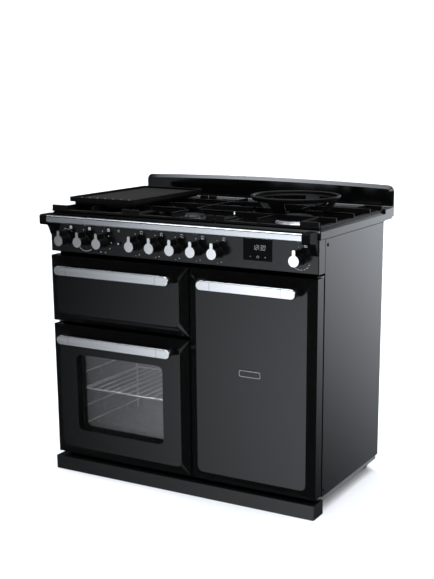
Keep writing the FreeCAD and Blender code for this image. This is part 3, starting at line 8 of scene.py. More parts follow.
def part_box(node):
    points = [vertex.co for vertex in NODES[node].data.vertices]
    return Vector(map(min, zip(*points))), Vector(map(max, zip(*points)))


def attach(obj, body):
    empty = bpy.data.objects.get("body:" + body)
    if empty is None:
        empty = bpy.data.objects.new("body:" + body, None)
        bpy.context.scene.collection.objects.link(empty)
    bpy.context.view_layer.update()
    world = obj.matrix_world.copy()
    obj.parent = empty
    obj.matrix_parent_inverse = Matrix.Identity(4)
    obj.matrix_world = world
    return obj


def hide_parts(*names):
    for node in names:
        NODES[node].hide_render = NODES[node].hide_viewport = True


# Looks of a range cooker around its fixed frame. Metres; +X right, +Y to the rear, +Z up.

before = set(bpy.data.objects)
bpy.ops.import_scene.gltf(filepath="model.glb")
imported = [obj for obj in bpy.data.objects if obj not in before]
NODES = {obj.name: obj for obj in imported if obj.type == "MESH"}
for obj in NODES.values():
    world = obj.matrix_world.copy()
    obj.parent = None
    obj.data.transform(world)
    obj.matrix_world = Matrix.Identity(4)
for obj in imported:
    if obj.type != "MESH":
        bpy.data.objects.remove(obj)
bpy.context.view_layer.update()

RIM = -0.267                 # plane of the fronts' outer rims
FACE = RIM - 0.012           # raised flat faces of the fronts
PANEL = RIM + 0.003          # face of the control panel
SIDE = 0.5                   # side edges of the hob and its rear wall
PRINT = 0.00008              # thickness of printed ink
KNOB_LEVEL = 0.8133
KNOB_X = {
    "knob_grill": -0.430, "knob_left_oven_mode": -0.3536, "knob_left_oven_heat": -0.2772,
    "knob_left_rear_burner": -0.1485, "knob_left_front_burner": -0.0721,
    "knob_centre_front_burner": 0.0043, "knob_centre_rear_burner": 0.0807,
    "knob_wok_burner": 0.1571, "knob_right_oven_heat": 0.438}
FRONT_ROW, MIDDLE, REAR_ROW = RIM + 0.136, RIM + 0.268, RIM + 0.400
BURNERS = [                  # x, y and radius
    (-0.330, FRONT_ROW, 0.037), (-0.330, REAR_ROW, 0.037), (-0.019, FRONT_ROW, 0.046),
    (-0.019, REAR_ROW, 0.037), (0.288, MIDDLE, 0.060)]


def linked(name, data):
    """A new object in the scene."""
    thing = bpy.data.objects.new(name, data)
    bpy.context.scene.collection.objects.link(thing)
    return thing


# ---------------------------------------------------------------- camera

def make_camera():
    """The photograph's own camera, found from the edges of the cooker."""
    camera = linked("camera", bpy.data.cameras.new("camera"))
    ahead = Vector((-0.46019, 0.85736, -0.23057)).normalized()
    right = Vector((0.88110, 0.47293, 0.0)).normalized()
    roll = -0.0012
    right = Matrix.Rotation(roll, 3, ahead) @ right
    up = right.cross(ahead)
    basis = Matrix((right, up, -ahead)).transposed()
    place = Matrix.Translation((1.8198, -3.0851, 1.3263))
    camera.matrix_world = place @ basis.to_4x4()
    camera.data.sensor_width = 36
    camera.data.lens = 66.48
    camera.data.shift_x = -0.0764
    camera.data.shift_y = 0.0784
    camera.data.clip_end = 200
    bpy.context.scene.camera = camera


make_camera()


# ---------------------------------------------------------------- node materials

class Shader:
    """A principled material with short ways to add nodes to it."""

    def __init__(self, name):
        self.material = bpy.data.materials.new(name)
        self.material.use_nodes = True
        self.nodes = self.material.node_tree.nodes
        self.links = self.material.node_tree.links
        self.surface = self.nodes["Principled BSDF"]
        self.place = self.nodes.new("ShaderNodeTexCoord").outputs["Object"]

    def add(self, kind, **inputs):
        """A node of this kind with the given inputs."""
        node = self.nodes.new("ShaderNode" + kind)
        for name, value in inputs.items():
            self.put(node.inputs[name.replace("_", " ")], value)
        return node

    def put(self, socket, value):
        """Feeds a socket from another one, or sets it to a plain value."""
        if isinstance(value, bpy.types.NodeSocket):
            self.links.new(value, socket)
        else:
            socket.default_value = value

    def base(self, **inputs):
        """Sets inputs of the surface itself."""
        for name, value in inputs.items():
            self.put(self.surface.inputs[name.replace("_", " ")], value)
        return self

    def noise(self, scale, detail, roughness=0.5, stretch=None):
        """Fractal noise in the object's own space, stretched along its axes where asked."""
        place = self.place
        if stretch:
            place = self.add("Mapping", Vector=self.place, Scale=stretch).outputs["Vector"]
        return self.add("TexNoise", Vector=place, Scale=scale, Detail=detail,
                        Roughness=roughness).outputs["Fac"]

    def span(self, value, low, high, start, end):
        """The value's stretch from start to end mapped to low to high."""
        node = self.add("MapRange")
        for name, item in (("Value", value), ("From Min", start), ("From Max", end),
                           ("To Min", low), ("To Max", high)):
            self.put(node.inputs[name], item)
        return node.outputs["Result"]

    def math(self, kind, first, second=0.0):
        """One sum or comparison."""
        node = self.nodes.new("ShaderNodeMath")
        node.operation = kind
        self.put(node.inputs[0], first)
        self.put(node.inputs[1], second)
        return node.outputs[0]

    def mix(self, factor, first, second):
        """The first colour at factor nought, and the second at one."""
        node = self.nodes.new("ShaderNodeMix")
        node.data_type = "RGBA"
        self.put(node.inputs["Factor"], factor)
        self.put(node.inputs["A"], first)
        self.put(node.inputs["B"], second)
        return node.outputs["Result"]

    def between(self, value, low, high):
        """One where the value lies between low and high, else nought."""
        return self.math("MULTIPLY", self.math("GREATER_THAN", value, low),
                         self.math("LESS_THAN", value, high))

    def axis(self, letter):
        """The place along one axis, in metres."""
        return self.add("SeparateXYZ", Vector=self.place).outputs[letter]

    def bump(self, height, strength, distance):
        """Fine relief that only turns the shading."""
        node = self.add("Bump", Height=height, Strength=strength, Distance=distance)
        self.put(self.surface.inputs["Normal"], node.outputs["Normal"])
        return self


def tint(red, green, blue):
    """An opaque colour."""
    return (red, green, blue, 1.0)


def grey(value):
    return tint(value, value, value)


def scaled(colour, times):
    """The colour with each part multiplied, up to white."""
    return tint(*(min(1, c * times) for c in colour[:3]))


def enamel(name, dark, light, rough, peel=0.03, ior=1.42):
    """Vitreous enamel: faint orange peel, slightly uneven gloss and fine dust."""
    m = Shader(name)
    cloud = m.noise(40.0, 3.0)
    dust = m.noise(900.0, 2.0, 0.6)
    body = m.mix(m.span(cloud, 0.0, 1.0, 0.3, 0.7), dark, light)
    speck = m.span(dust, 0.0, 0.35, 0.70, 0.82)
    m.base(Base_Color=m.mix(speck, body, tint(0.06, 0.06, 0.065)))
    m.base(Roughness=m.span(m.noise(60.0, 3.0), rough * 0.93, rough * 1.07, 0.3, 0.7))
    m.base(IOR=ior)
    return m.bump(m.noise(260.0, 2.0), peel, 0.0004).material


def brushed(name, colour, rough, stretch, depth):
    """Metal with a fine grain, drawn out along an axis whose stretch is below the others'."""
    m = Shader(name)
    grain = m.noise(6.0, 6.0, 0.65, stretch=stretch)
    shade = m.mix(m.span(grain, 0.0, 1.0, 0.35, 0.65), scaled(colour, 0.86), colour)
    m.base(Base_Color=shade, Metallic=1.0)
    m.base(Roughness=m.span(grain, rough * 0.8, rough * 1.3, 0.3, 0.7))
    return m.bump(grain, depth, 0.00012).material


def cast(name, colour, rough, scale=420.0, depth=0.5, ior=1.3):
    """Sand-cast iron under thin matt enamel."""
    m = Shader(name)
    coarse, fine = m.noise(scale * 0.35, 3.0), m.noise(scale, 4.0, 0.7)
    mixed = m.math("ADD", m.math("MULTIPLY", coarse, 0.6), m.math("MULTIPLY", fine, 0.4))
    worn = m.span(m.noise(9.0, 4.0), 0.0, 1.0, 0.4, 0.75)
    m.base(Base_Color=m.mix(worn, colour, scaled(colour, 1.4)), IOR=ior)
    m.base(Roughness=m.span(fine, rough * 0.9, min(1, rough * 1.1), 0.3, 0.7))
    return m.bump(mixed, depth, 0.0006).material


def moulded(name, colour, rough, texture=1500.0, depth=0.12, ior=1.4):
    """Moulded plastic or rubber with a fine sparked texture."""
    m = Shader(name)
    fine = m.noise(texture, 2.0)
    faded = m.span(m.noise(20.0, 3.0), 0, 1, 0.3, 0.7)
    m.base(Base_Color=m.mix(faded, colour, scaled(colour, 1.25)), IOR=ior)
    m.base(Roughness=m.span(fine, rough * 0.85, rough * 1.15, 0.3, 0.7))
    return m.bump(fine, depth, 0.0001).material


def speckled(name):
    """Dark oven enamel with pale specks."""
    m = Shader(name)
    specks = m.add("TexVoronoi", Vector=m.place, Scale=420.0)
    pale = m.span(specks.outputs["Distance"], 1.0, 0.0, 0.10, 0.20)
    m.base(Base_Color=m.mix(pale, grey(0.020), grey(0.060)))
    m.base(Roughness=m.span(m.noise(30.0, 4.0), 0.22, 0.4, 0.3, 0.7))
    return m.bump(m.noise(120.0, 3.0), 0.1, 0.0004).material


def knob_material():
    """Bright satin face in front of a black moulded body, split by depth."""
    m = Shader("knob_two_tone")
    depth = m.axis("Y")
    back_of_face = RIM - 0.0413
    front = m.math("LESS_THAN", depth, back_of_face)
    spindle = m.math("GREATER_THAN", depth, PANEL - 0.001)
    metal = m.math("MAXIMUM", front, spindle)
    turned = m.noise(40.0, 5.0, 0.6, stretch=(1, 1, 14))
    bright = m.mix(m.span(turned, 0, 1, 0.3, 0.7), grey(0.87), grey(0.90))
    m.base(Base_Color=m.mix(metal, grey(0.004), bright), Metallic=metal, IOR=1.35)
    m.base(Roughness=m.mix(metal, grey(0.35), m.mix(turned, grey(0.16), grey(0.20))))
    return m.bump(m.noise(900.0, 2.0), 0.02, 0.00005).material


def handle_material():
    """Brushed bar in front, black posts behind it, and a fine joint near each end."""
    m = Shader("bar_and_posts")
    grain = m.noise(6.0, 6.0, 0.65, stretch=(0.6, 22, 22))
    back_of_bar = RIM - 0.0385
    bar = m.math("LESS_THAN", m.axis("Y"), back_of_bar)
    bright = m.mix(m.span(grain, 0, 1, 0.35, 0.65), tint(0.76, 0.77, 0.78), tint(0.80, 0.81, 0.82))
    joint, half_gap = None, 0.0006
    for x in (-0.4025, -0.0495, 0.1515, 0.3975):
        near = m.math("LESS_THAN", m.math("ABSOLUTE", m.math("SUBTRACT", m.axis("X"), x)), half_gap)
        joint = near if joint is None else m.math("ADD", joint, near)
    bright = m.mix(joint, bright, grey(0.25))
    m.base(Base_Color=m.mix(bar, grey(0.006), bright), Metallic=bar)
    m.base(Roughness=m.span(grain, 0.16, 0.22, 0.3, 0.7))
    return m.bump(grain, 0.03, 0.0001).material


def tinted_glass(name):
    """Clear smoked oven glass, seen through, with a slight grey veil."""
    m = Shader(name)
    veil = m.noise(5.0, 3.0)
    m.base(Base_Color=m.mix(m.span(veil, 0, 1, 0.35, 0.65), grey(0.020), grey(0.024)), IOR=2.8)
    m.base(Roughness=m.span(m.noise(60.0, 4.0), 0.02, 0.04, 0.3, 0.7))
    m.surface.inputs["Alpha"].default_value = 0.34
    return m.bump(m.noise(2.0, 2.0), 0.03, 0.002).material


def flat_glow(name, colour, strength):
    """Figures that shine evenly by themselves."""
    m = Shader(name)
    uneven = m.span(m.noise(160.0, 2.0), 0.92, 1.0, 0.3, 0.7)
    m.base(Base_Color=grey(0.0), Emission_Color=colour, Roughness=0.4)
    m.base(Emission_Strength=m.math("MULTIPLY", uneven, strength))
    return m.material


def griddle_iron():
    """Black rim; a cooking field in a lighter brown that is a painted reflection, the floor in front of it
    black as a painted dark reflection, and bright warm metal on the stud tops as painted glints.
    """
    m = Shader("griddle_iron")
    x, y, z = m.axis("X"), m.axis("Y"), m.axis("Z")
    dish_floor, field_front = (0.9425, 0.9435), RIM + 0.125
    stud_x, stud_y, stud_top = (-0.438, -0.207), (RIM + 0.054, RIM + 0.086), (0.9464, 0.9490)
    # The dish floor behind field_front takes the lighter brown, a painted reflection; the floor in front of
    # it stays black, a painted dark reflection.
    field = m.math("MULTIPLY", m.between(z, *dish_floor), m.math("GREATER_THAN", y, field_front))
    studs = m.math("MULTIPLY", m.between(x, *stud_x), m.between(y, *stud_y))
    glint_tips = m.math("MULTIPLY", studs, m.between(z, *stud_top))
    grain = m.noise(420.0, 4.0, 0.7)
    uneven_tone = m.span(m.noise(9.0, 4.0), 0, 1, 0.4, 0.75)
    painted_sheen_brown = m.mix(uneven_tone, tint(0.0095, 0.0080, 0.0060), tint(0.0125, 0.0105, 0.0080))
    shade = m.mix(field, grey(0.003), painted_sheen_brown)
    # The stud tops turn bright warm metal so that they show glints: a painted highlight.
    m.base(Base_Color=m.mix(glint_tips, shade, tint(0.75, 0.66, 0.48)), Metallic=glint_tips, IOR=1.18)
    m.base(Roughness=m.span(grain, 0.52, 0.64, 0.3, 0.7))
    return m.bump(grain, 0.3, 0.0004).material


def print_white(name, value):
    """Screen-printed marking ink."""
    m = Shader(name)
    wear = m.span(m.noise(500.0, 2.0), 0, 1, 0.3, 0.7)
    m.base(Base_Color=m.mix(wear, grey(value * 0.88), grey(value)))
    return m.base(Roughness=0.5).bump(m.noise(2500.0, 1.0), 0.05, 0.00005).material


GLOSS = enamel("gloss_black_enamel", grey(0.0022), grey(0.0034), 0.10)
FASCIA = enamel("fascia_enamel", grey(0.0030), grey(0.0044), 0.20)
SIDES = enamel("side_panel_paint", grey(0.0045), grey(0.0055), 0.16)
HOB = enamel("hob_enamel", grey(0.0020), grey(0.0032), 0.12)
OVEN = speckled("oven_enamel")
ZINC = brushed("zinc_plate", tint(0.50, 0.51, 0.52), 0.50, (3, 3, 5), 0.04)
BARS = brushed("brushed_bar", tint(0.76, 0.77, 0.79), 0.20, (0.6, 22, 22), 0.03)
WIRES = brushed("chromed_wire", tint(0.88, 0.88, 0.89), 0.58, (5, 5, 5), 0.05)
PLATE = griddle_iron()
IRON = cast("cast_iron", tint(0.0034, 0.0032, 0.0029), 0.55, ior=1.22)
CAPS = cast("cap_enamel", grey(0.006), 0.40, scale=260.0, depth=0.2)
ALLOY = brushed("burner_alloy", tint(0.55, 0.55, 0.55), 0.38, (8, 8, 8), 0.3)
TUBE = brushed("pipe_steel", tint(0.42, 0.42, 0.43), 0.45, (4, 4, 4), 0.2)
PLASTIC = moulded("black_plastic", grey(0.008), 0.35)
BLACK_CAST = moulded("bracket_black", grey(0.0025), 0.50, 700.0, 0.04, ior=1.12)
FRAME = moulded("frame_black", grey(0.0025), 0.45, 700.0, 0.04, ior=1.12)
RUBBER = moulded("gasket_rubber", grey(0.010), 0.75, 700.0, 0.3)
SMOKED = enamel("clock_window", grey(0.0006), grey(0.0009), 0.05, peel=0.0, ior=1.12)
KNOBS = knob_material()
GLASS = tinted_glass("oven_glass")
INK = print_white("printed_ink", 0.82)
HANDLES = handle_material()

BY_NODE = {
    GLOSS: ["grill_front", "left_door", "right_door"],
    FASCIA: ["control_panel", "plinth"],
    SIDES: ["side_panels"],
    HOB: ["hotplate", "upstand"],
    OVEN: ["grill_chamber", "left_oven_cavity", "right_oven_cavity", "fan_covers", "grill_pan",
           "left_door_liner", "right_door_liner"],
    FRAME: ["front_frame"],
    ZINC: ["base_frame", "back_cover", "hinge_brackets", "roller_brackets",
           "levelling_feet", "terminal_cover", "grill_carriage"],
    BARS: ["handrail"],
    WIRES: ["oven_shelves", "shelf_ladders"],
    IRON: ["pan_support_left", "pan_support_centre", "pan_support_right", "wok_ring"],
    PLATE: ["griddle"],
    CAPS: ["burner_caps"],
    ALLOY: ["burner_heads", "burner_cups", "gas_taps", "fan_left", "fan_right"],
    TUBE: ["gas_manifold", "fan_motors", "heating_elements"],
    BLACK_CAST: ["rail_brackets"],
    PLASTIC: ["control_units", "roller_left", "roller_right", "light_button"],
    RUBBER: ["door_seals"],
    SMOKED: ["clock_glass"],
    GLASS: ["left_door_glass"],
    KNOBS: list(KNOB_X),
    HANDLES: ["grill_handle", "left_door_handle", "right_door_handle"],
}

for material, names in BY_NODE.items():
    for name in names:
        mesh = NODES[name].data
        mesh.materials.clear()
        mesh.materials.append(material)
        mesh.polygons.foreach_set("use_smooth", [True] * len(mesh.polygons))
        mesh.set_sharp_from_angle(angle=math.radians(28))


# ---------------------------------------------------------------- extra pieces

def mesh_of(name, made):
    """The finished mesh of a bmesh, which is freed."""
    mesh = bpy.data.meshes.new(name)
    made.to_mesh(mesh)
    made.free()
    return mesh


def piece(name, mesh, material, body):
    """An extra piece that rides on a body."""
    thing = linked(name, mesh)
    mesh.materials.append(material)
    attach(thing, body)
    return thing


def loft(made, rings, whole=False):
    """Faces between closed rings of points, with a cap at each end unless the rings go all round."""
    if not whole:
        made.faces.new(rings[0])
        made.faces.new(list(reversed(rings[-1])))
    following = rings[1:] + rings[:1] if whole else rings[1:]
    for one, two in zip(rings, following):
        for index in range(len(one)):
            after = (index + 1) % len(one)
            made.faces.new((one[index], two[index], two[after], one[after]))


def plates(name, outlines, thick):
    """Flat outlines in the front plane, given as lists of (x, z), made into thin plates at y = 0."""
    made = bmesh.new()
    for outline in outlines:
        loft(made, [[made.verts.new((x, y, z)) for x, z in outline] for y in (-thick, 0.0)])
    bmesh.ops.recalc_face_normals(made, faces=made.faces)
    return mesh_of(name, made)


def dot(x, z, radius):
    """A twelve-sided disc."""
    sides = 12
    return [(x + radius * math.cos(a), z + radius * math.sin(a))
            for a in (2 * math.pi * i / sides for i in range(sides))]


def line(x0, z0, x1, z1, width):
    """A straight stroke with square ends."""
    along = Vector((x1 - x0, z1 - z0)).normalized() * (width / 2)
    side = Vector((-along.y, along.x))
    return [(x0 - side.x, z0 - side.y), (x1 - side.x, z1 - side.y),
            (x1 + side.x, z1 + side.y), (x0 + side.x, z0 + side.y)]


def bend(x, z, radius, start, turn, steps):
    """Points along a circle; 0 degrees is at the right and they go anticlockwise."""
    angles = [math.radians(start + turn * i / steps) for i in range(steps + 1)]
    return [(x + radius * math.cos(a), z + radius * math.sin(a)) for a in angles]


def polar(x, z, radius, degrees):
    """A point round a dial; 0 is at the top and degrees go clockwise."""
    a = math.radians(degrees)
    return x + radius * math.sin(a), z + radius * math.cos(a)


def arc(x, z, radius, start, end, width, steps=10):
    """A curved stroke made of short straight ones."""
    marks = []
    for i in range(steps):
        a = start + (end - start) * i / steps
        b = start + (end - start) * (i + 1) / steps
        marks.append(line(*polar(x, z, radius, a), *polar(x, z, radius, b), width))
    return marks


def pictogram(x, z, size):
    """Outlined square with a bar in it."""
    h, w = size / 2, size * 0.22
    return [line(x - h, z - h, x + h, z - h, w), line(x - h, z + h, x + h, z + h, w),
            line(x - h, z - h, x - h, z + h, w), line(x + h, z - h, x + h, z + h, w),
            line(x - h * 0.6, z + h * 0.2, x + h * 0.6, z + h * 0.2, w)]


def dial_marks():
    """White marks printed round each knob on the control panel."""
    marks, level, ring = [], KNOB_LEVEL, 0.0345
    for name, x in KNOB_X.items():
        marks.append(dot(x - 0.007, level + 0.036, 0.0012))
        if name.endswith("burner"):
            marks.append(dot(x + 0.008, level - 0.0305, 0.0015))
            marks.append(dot(x - 0.006, level - 0.0345, 0.0010))
            marks += arc(x + 0.017, level + 0.0405, 0.0055, -60, 80, 0.0007, 5)
            marks.append(dot(x + 0.0155, level + 0.0385, 0.0018))
            marks.append(dot(x + 0.0215, level + 0.0365, 0.0013))
            continue
        marks += pictogram(x + 0.017, level + 0.0410, 0.0075)
        if name == "knob_left_oven_mode":
            marks += arc(x, level, ring, 140, 230, 0.0010)
        elif name == "knob_left_oven_heat":
            for angle, radius in ((38, 0.027), (89, 0.027), (133, 0.029), (174, 0.0335), (206, 0.037)):
                marks += pictogram(*polar(x, level, radius, angle), 0.0030)
        elif name == "knob_grill":
            marks += arc(x, level, ring, -25, 40, 0.0006)
        else:
            for angle in range(112, 222, 9):
                small_or_large = 0.0008 + 0.0005 * (angle % 2)
                marks.append(dot(*polar(x, level, 0.0330, angle), small_or_large))
    return marks + bulb_mark()


def bulb_mark():
    """Outline of a bulb above the light button."""
    x = (KNOB_X["knob_left_oven_heat"] + KNOB_X["knob_left_rear_burner"]) / 2 - 0.007
    z, stroke = 0.854, 0.0008
    glass = arc(x, z, 0.0030, -140, 140, stroke, 10)
    return glass + [line(x - 0.0015, z - 0.0035, x + 0.0015, z - 0.0035, stroke)]


printed = piece("dial_marks", plates("dial_marks", dial_marks(), PRINT), INK, "cabinet")
printed.matrix_world = Matrix.Translation((0, PANEL, 0))


# ---------------------------------------------------------------- clock

SEGMENTS = {"0": "abcdef", "1": "bc", "2": "abdeg", "3": "abcdg"}


def clock_figures():
    """Plain seven-segment time and three touch symbols."""
    wide, tall, stroke, lean = 0.0066, 0.0140, 0.0007, 0.18
    base, x = 0.8305, 0.2750
    marks = []
    places = {
        "a": (0, 2, 1, 2), "b": (1, 2, 1, 1), "c": (1, 1, 1, 0), "d": (0, 0, 1, 0),
        "e": (0, 1, 0, 0), "f": (0, 2, 0, 1), "g": (0, 1, 1, 1)}
    for figure in "12:30":
        if figure == ":":
            for level in (0.3, 0.7):
                marks.append(dot(x + lean * level * tall - 0.001, base + level * tall, 0.0011))
            x += 0.0038
            continue
        for segment in SEGMENTS[figure]:
            x0, z0, x1, z1 = places[segment]
            low, high = z0 * tall / 2, z1 * tall / 2
            start = Vector((x + x0 * wide + lean * low, base + low))
            end = Vector((x + x1 * wide + lean * high, base + high))
            gap = (end - start).normalized() * 0.0007
            marks.append(line(*(start + gap), *(end - gap), stroke))
        x += wide + 0.0040
    return marks + touch_symbols()


def touch_symbols():
    """A dash, a ring with a stroke through its top, and a cross below the time."""
    level, minus, ring, plus = 0.809, 0.2680, 0.2935, 0.3190
    marks = [line(minus - 0.0015, level, minus + 0.0015, level, 0.0008)]
    marks += arc(ring, level, 0.0036, 30, 330, 0.0005, 12)
    marks.append(line(ring, level + 0.0020, ring, level + 0.0044, 0.0005))
    marks.append(line(plus - 0.0015, level, plus + 0.0015, level, 0.0007))
    marks.append(line(plus, level - 0.0015, plus, level + 0.0015, 0.0007))
    return marks


LIT = flat_glow("clock_glow", tint(0.8, 0.92, 1.0), 0.85)
figures = piece("clock_figures", plates("clock_figures", clock_figures(), 0.00006), LIT,
                "cabinet")
figures.matrix_world = Matrix.Translation((0, PANEL - 0.0006, 0))


# ---------------------------------------------------------------- hob pieces

def blocks(made, spans):
    """Boxes given as (x0, x1, y0, y1, z0, z1)."""
    for x0, x1, y0, y1, z0, z1 in spans:
        place = Matrix.Translation(((x0 + x1) / 2, (y0 + y1) / 2, (z0 + z1) / 2))
        size = Matrix.Diagonal((x1 - x0, y1 - y0, z1 - z0, 1))
        bmesh.ops.create_cube(made, size=1, matrix=place @ size)


def solid(name, made, material, body, node, round_off, limit):
    """Mesh with softened edges that stands for a CAD node."""
    bmesh.ops.recalc_face_normals(made, faces=made.faces)
    mesh = mesh_of(name, made)
    thing = piece(name, mesh, material, body)
    mesh.polygons.foreach_set("use_smooth", [True] * len(mesh.polygons))
    mesh.set_sharp_from_angle(angle=math.radians(34))
    soft = thing.modifiers.new("soft_edges", "BEVEL")
    soft.width, soft.segments, soft.limit_method = round_off, 2, "ANGLE"
    soft.angle_limit = math.radians(limit)
    soft.harden_normals = True
    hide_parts(node)


LOW, HIGH = 0.904, 0.925             # hob rim and the level that pans stand on
UNDER_BAR = LOW + 0.003              # lower edge of the raised bars
SUPPORT_FRONT, SUPPORT_REAR = RIM + 0.009, RIM + 0.506
HALF_BAR = 0.0035
OUTER_CORNER = 0.49                  # beyond this a support's corner is an outer one
SHY = 0.0001                         # steps that keep the faces of crossing bars apart


def support_fingers(x, y, clear, south, north, west, east):
    """Four bars towards a burner, each with a thinner tip."""
    far, tip, lap = clear + 0.022, HIGH - 0.0055, 0.002
    return [
        (west, x - far, y - HALF_BAR, y + HALF_BAR, UNDER_BAR, HIGH),
        (west + lap, x - clear, y - HALF_BAR, y + HALF_BAR, tip, HIGH - 2 * SHY),
        (x + far, east, y - HALF_BAR, y + HALF_BAR, UNDER_BAR, HIGH),
        (x + clear, east - lap, y - HALF_BAR, y + HALF_BAR, tip, HIGH - 2 * SHY),
        (x - HALF_BAR, x + HALF_BAR, south, y - far, UNDER_BAR, HIGH - SHY),
        (x - HALF_BAR, x + HALF_BAR, south + lap, y - clear, tip, HIGH - 3 * SHY),
        (x - HALF_BAR, x + HALF_BAR, y + far, north, UNDER_BAR, HIGH - SHY),
        (x - HALF_BAR, x + HALF_BAR, y + clear, north - lap, tip, HIGH - 3 * SHY)]


def pan_support(name, left, right):
    """Low frame on the hob's rim with raised corners, cross bars and fingers."""
    front, rear = SUPPORT_FRONT, SUPPORT_REAR
    wide, rail, inset = 0.016, LOW + 0.0065, 0.001
    bar_front, bar_rear = front + 0.004, rear - 0.004
    west, east = left + inset, right - inset
    over_wok_burner, clear_of_centre = 0.014, 0.026
    spans = [
        (left, right, front, front + wide, LOW, rail), (left, right, rear - wide, rear, LOW, rail),
        (left, left + wide, front + inset, rear - inset, LOW, rail - SHY),
        (right - wide, right, front + inset, rear - inset, LOW, rail - SHY)]
    for x, inward in ((left, 1), (right, -1)):
        outer = abs(x) > OUTER_CORNER
        reach, thick = (0.064 if outer else 0.030), 0.008
        ends = sorted((x + inward * inset, x + inward * reach))
        for south in (front + inset, rear - inset - thick):
            spans.append((*ends, south, south + thick, UNDER_BAR, HIGH - 2 * SHY))
        if outer:
            middle = x + inward * (reach - HALF_BAR)
            for south, north in ((bar_front, FRONT_ROW), (REAR_ROW, bar_rear)):
                spans.append((middle - HALF_BAR, middle + HALF_BAR, south, north, UNDER_BAR, HIGH - 4 * SHY))
    places = [burner for burner in BURNERS if left < burner[0] < right]
    if len(places) == 1:
        x, y, radius = places[0]
        spans += support_fingers(x, y, radius - over_wok_burner, bar_front, bar_rear, west, east)
        for level in (FRONT_ROW, REAR_ROW):
            spans.append((west, east, level - HALF_BAR, level + HALF_BAR, UNDER_BAR, HIGH - 3 * SHY))
    else:
        spans.append((west, east, MIDDLE - HALF_BAR, MIDDLE + HALF_BAR, UNDER_BAR, HIGH - 3 * SHY))
        for x, y, radius in places:
            south, north = (bar_front, MIDDLE) if y < MIDDLE else (MIDDLE, bar_rear)
            spans += support_fingers(x, y, clear_of_centre, south, north, west, east)
    made = bmesh.new()
    blocks(made, spans)
    solid(name + "_bars", made, IRON, name, name, 0.0009, 30)


pan_support("pan_support_left", -0.494, -0.181)
pan_support("pan_support_centre", -0.176, 0.1345)
pan_support("pan_support_right", 0.1395, 0.494)


def sweep(made, profile, centre, start, end, steps):
    """A closed (radius, z) profile turned about a vertical line."""
    whole = end - start >= 360
    rings = []
    for i in range(steps if whole else steps + 1):
        a = math.radians(start + (end - start) * i / steps)
        rings.append([made.verts.new((centre[0] + r * math.cos(a), centre[1] + r * math.sin(a), z))
                      for r, z in profile])
    loft(made, rings, whole)


def wok_ring():
    """Conical ring on four feet, with an open window between each pair."""
    made = bmesh.new()
    centre = BURNERS[4][:2]
    foot_inside, foot_outside, flare = 0.1055, 0.113, 0.76
    band_low, band_high, half_foot = 0.9575, 0.966, 11

    def outside(z):
        return foot_outside + (z - HIGH) * flare, z

    def inside(z):
        return foot_inside + (z - HIGH) * flare, z

    lip = [(0.1460, 0.9705), (0.1435, 0.973), (0.1345, 0.9725), (0.1330, 0.9690)]
    band = [outside(band_low), outside(band_high)] + lip + [inside(band_high - 0.002), inside(band_low)]
    sweep(made, band, centre, 0, 360, 96)
    top = band_low + 0.004
    foot = [outside(HIGH), outside(top), inside(top), inside(HIGH)]
    for middle in (0, 90, 180, 270):
        sweep(made, foot, centre, middle - half_foot, middle + half_foot, 6)
    solid("wok_ring_cast", made, IRON, "wok_ring", "wok_ring", 0.0008, 50)


wok_ring()


def wall_outline(foot, shoulder, rise, corner):
    """The rear wall seen from the front: rounded shoulders and a slightly arched top."""
    inner, steps = SIDE - corner, 32
    outline = [(-SIDE, foot), (SIDE, foot)] + bend(inner, shoulder - corner, corner, 0, 90, 6)
    for i in range(1, steps):
        x = inner - 2 * inner * i / steps
        outline.append((x, shoulder + rise * (1 - (x / inner) ** 2)))
    return outline + bend(-inner, shoulder - corner, corner, 90, 90, 6)


def directions_inward(outline):
    """At each point of an outline the direction across it, towards its inside."""
    inward = []
    for index in range(len(outline)):
        before, after = Vector(outline[index - 1]), Vector(outline[(index + 1) % len(outline)])
        along = (after - before).normalized()
        inward.append((-along.y, along.x))
    return inward


def upstand():
    """Rear wall with an arched top and a sloped front edge, on a ledge with a hollow curve."""
    made = bmesh.new()
    front, rear = RIM + 0.579, RIM + 0.593
    foot, top, rise, corner = 0.905, 0.9933, 0.0080, 0.022
    slope_down, slope_deep, back_edge = 0.0118, 0.0108, 0.002
    outline = wall_outline(foot, top - rise, rise, corner)
    inward = directions_inward(outline)
    rings = []
    for y, inset in ((front, slope_down), (front + slope_deep, 0.0), (rear - back_edge, 0.0),
                     (rear, back_edge)):
        rings.append([made.verts.new((x + nx * inset, y, z + nz * inset))
                      for (x, z), (nx, nz) in zip(outline, inward)])
    loft(made, rings)
    ledge_front, ledge_rear, under, level, hollow = RIM + 0.517, rear - 0.0005, 0.881, 0.911, 0.012
    profile = [(ledge_front, under), (ledge_rear, under), (ledge_rear, level), (front + 0.002, level)]
    profile += bend(front - hollow, level + hollow, hollow, 0, -90, 6) + [(ledge_front, level)]
    loft(made, [[made.verts.new((x, y, z)) for y, z in profile] for x in (-SIDE, SIDE)])
    solid("upstand_wall", made, HOB, "cabinet", "upstand", 0.0006, 50)


upstand()


# ---------------------------------------------------------------- badge, side trims with painted shadow in the hob's side gaps, and a painted highlight on the light button

def rounded_outline(x0, z0, x1, z1, radius):
    """A rectangle with rounded corners."""
    points = []
    for x, z, start in ((x1 - radius, z1 - radius, 0), (x0 + radius, z1 - radius, 90),
                        (x0 + radius, z0 + radius, 180), (x1 - radius, z0 + radius, 270)):
        points += bend(x, z, radius, start, 90, 5)
    return points


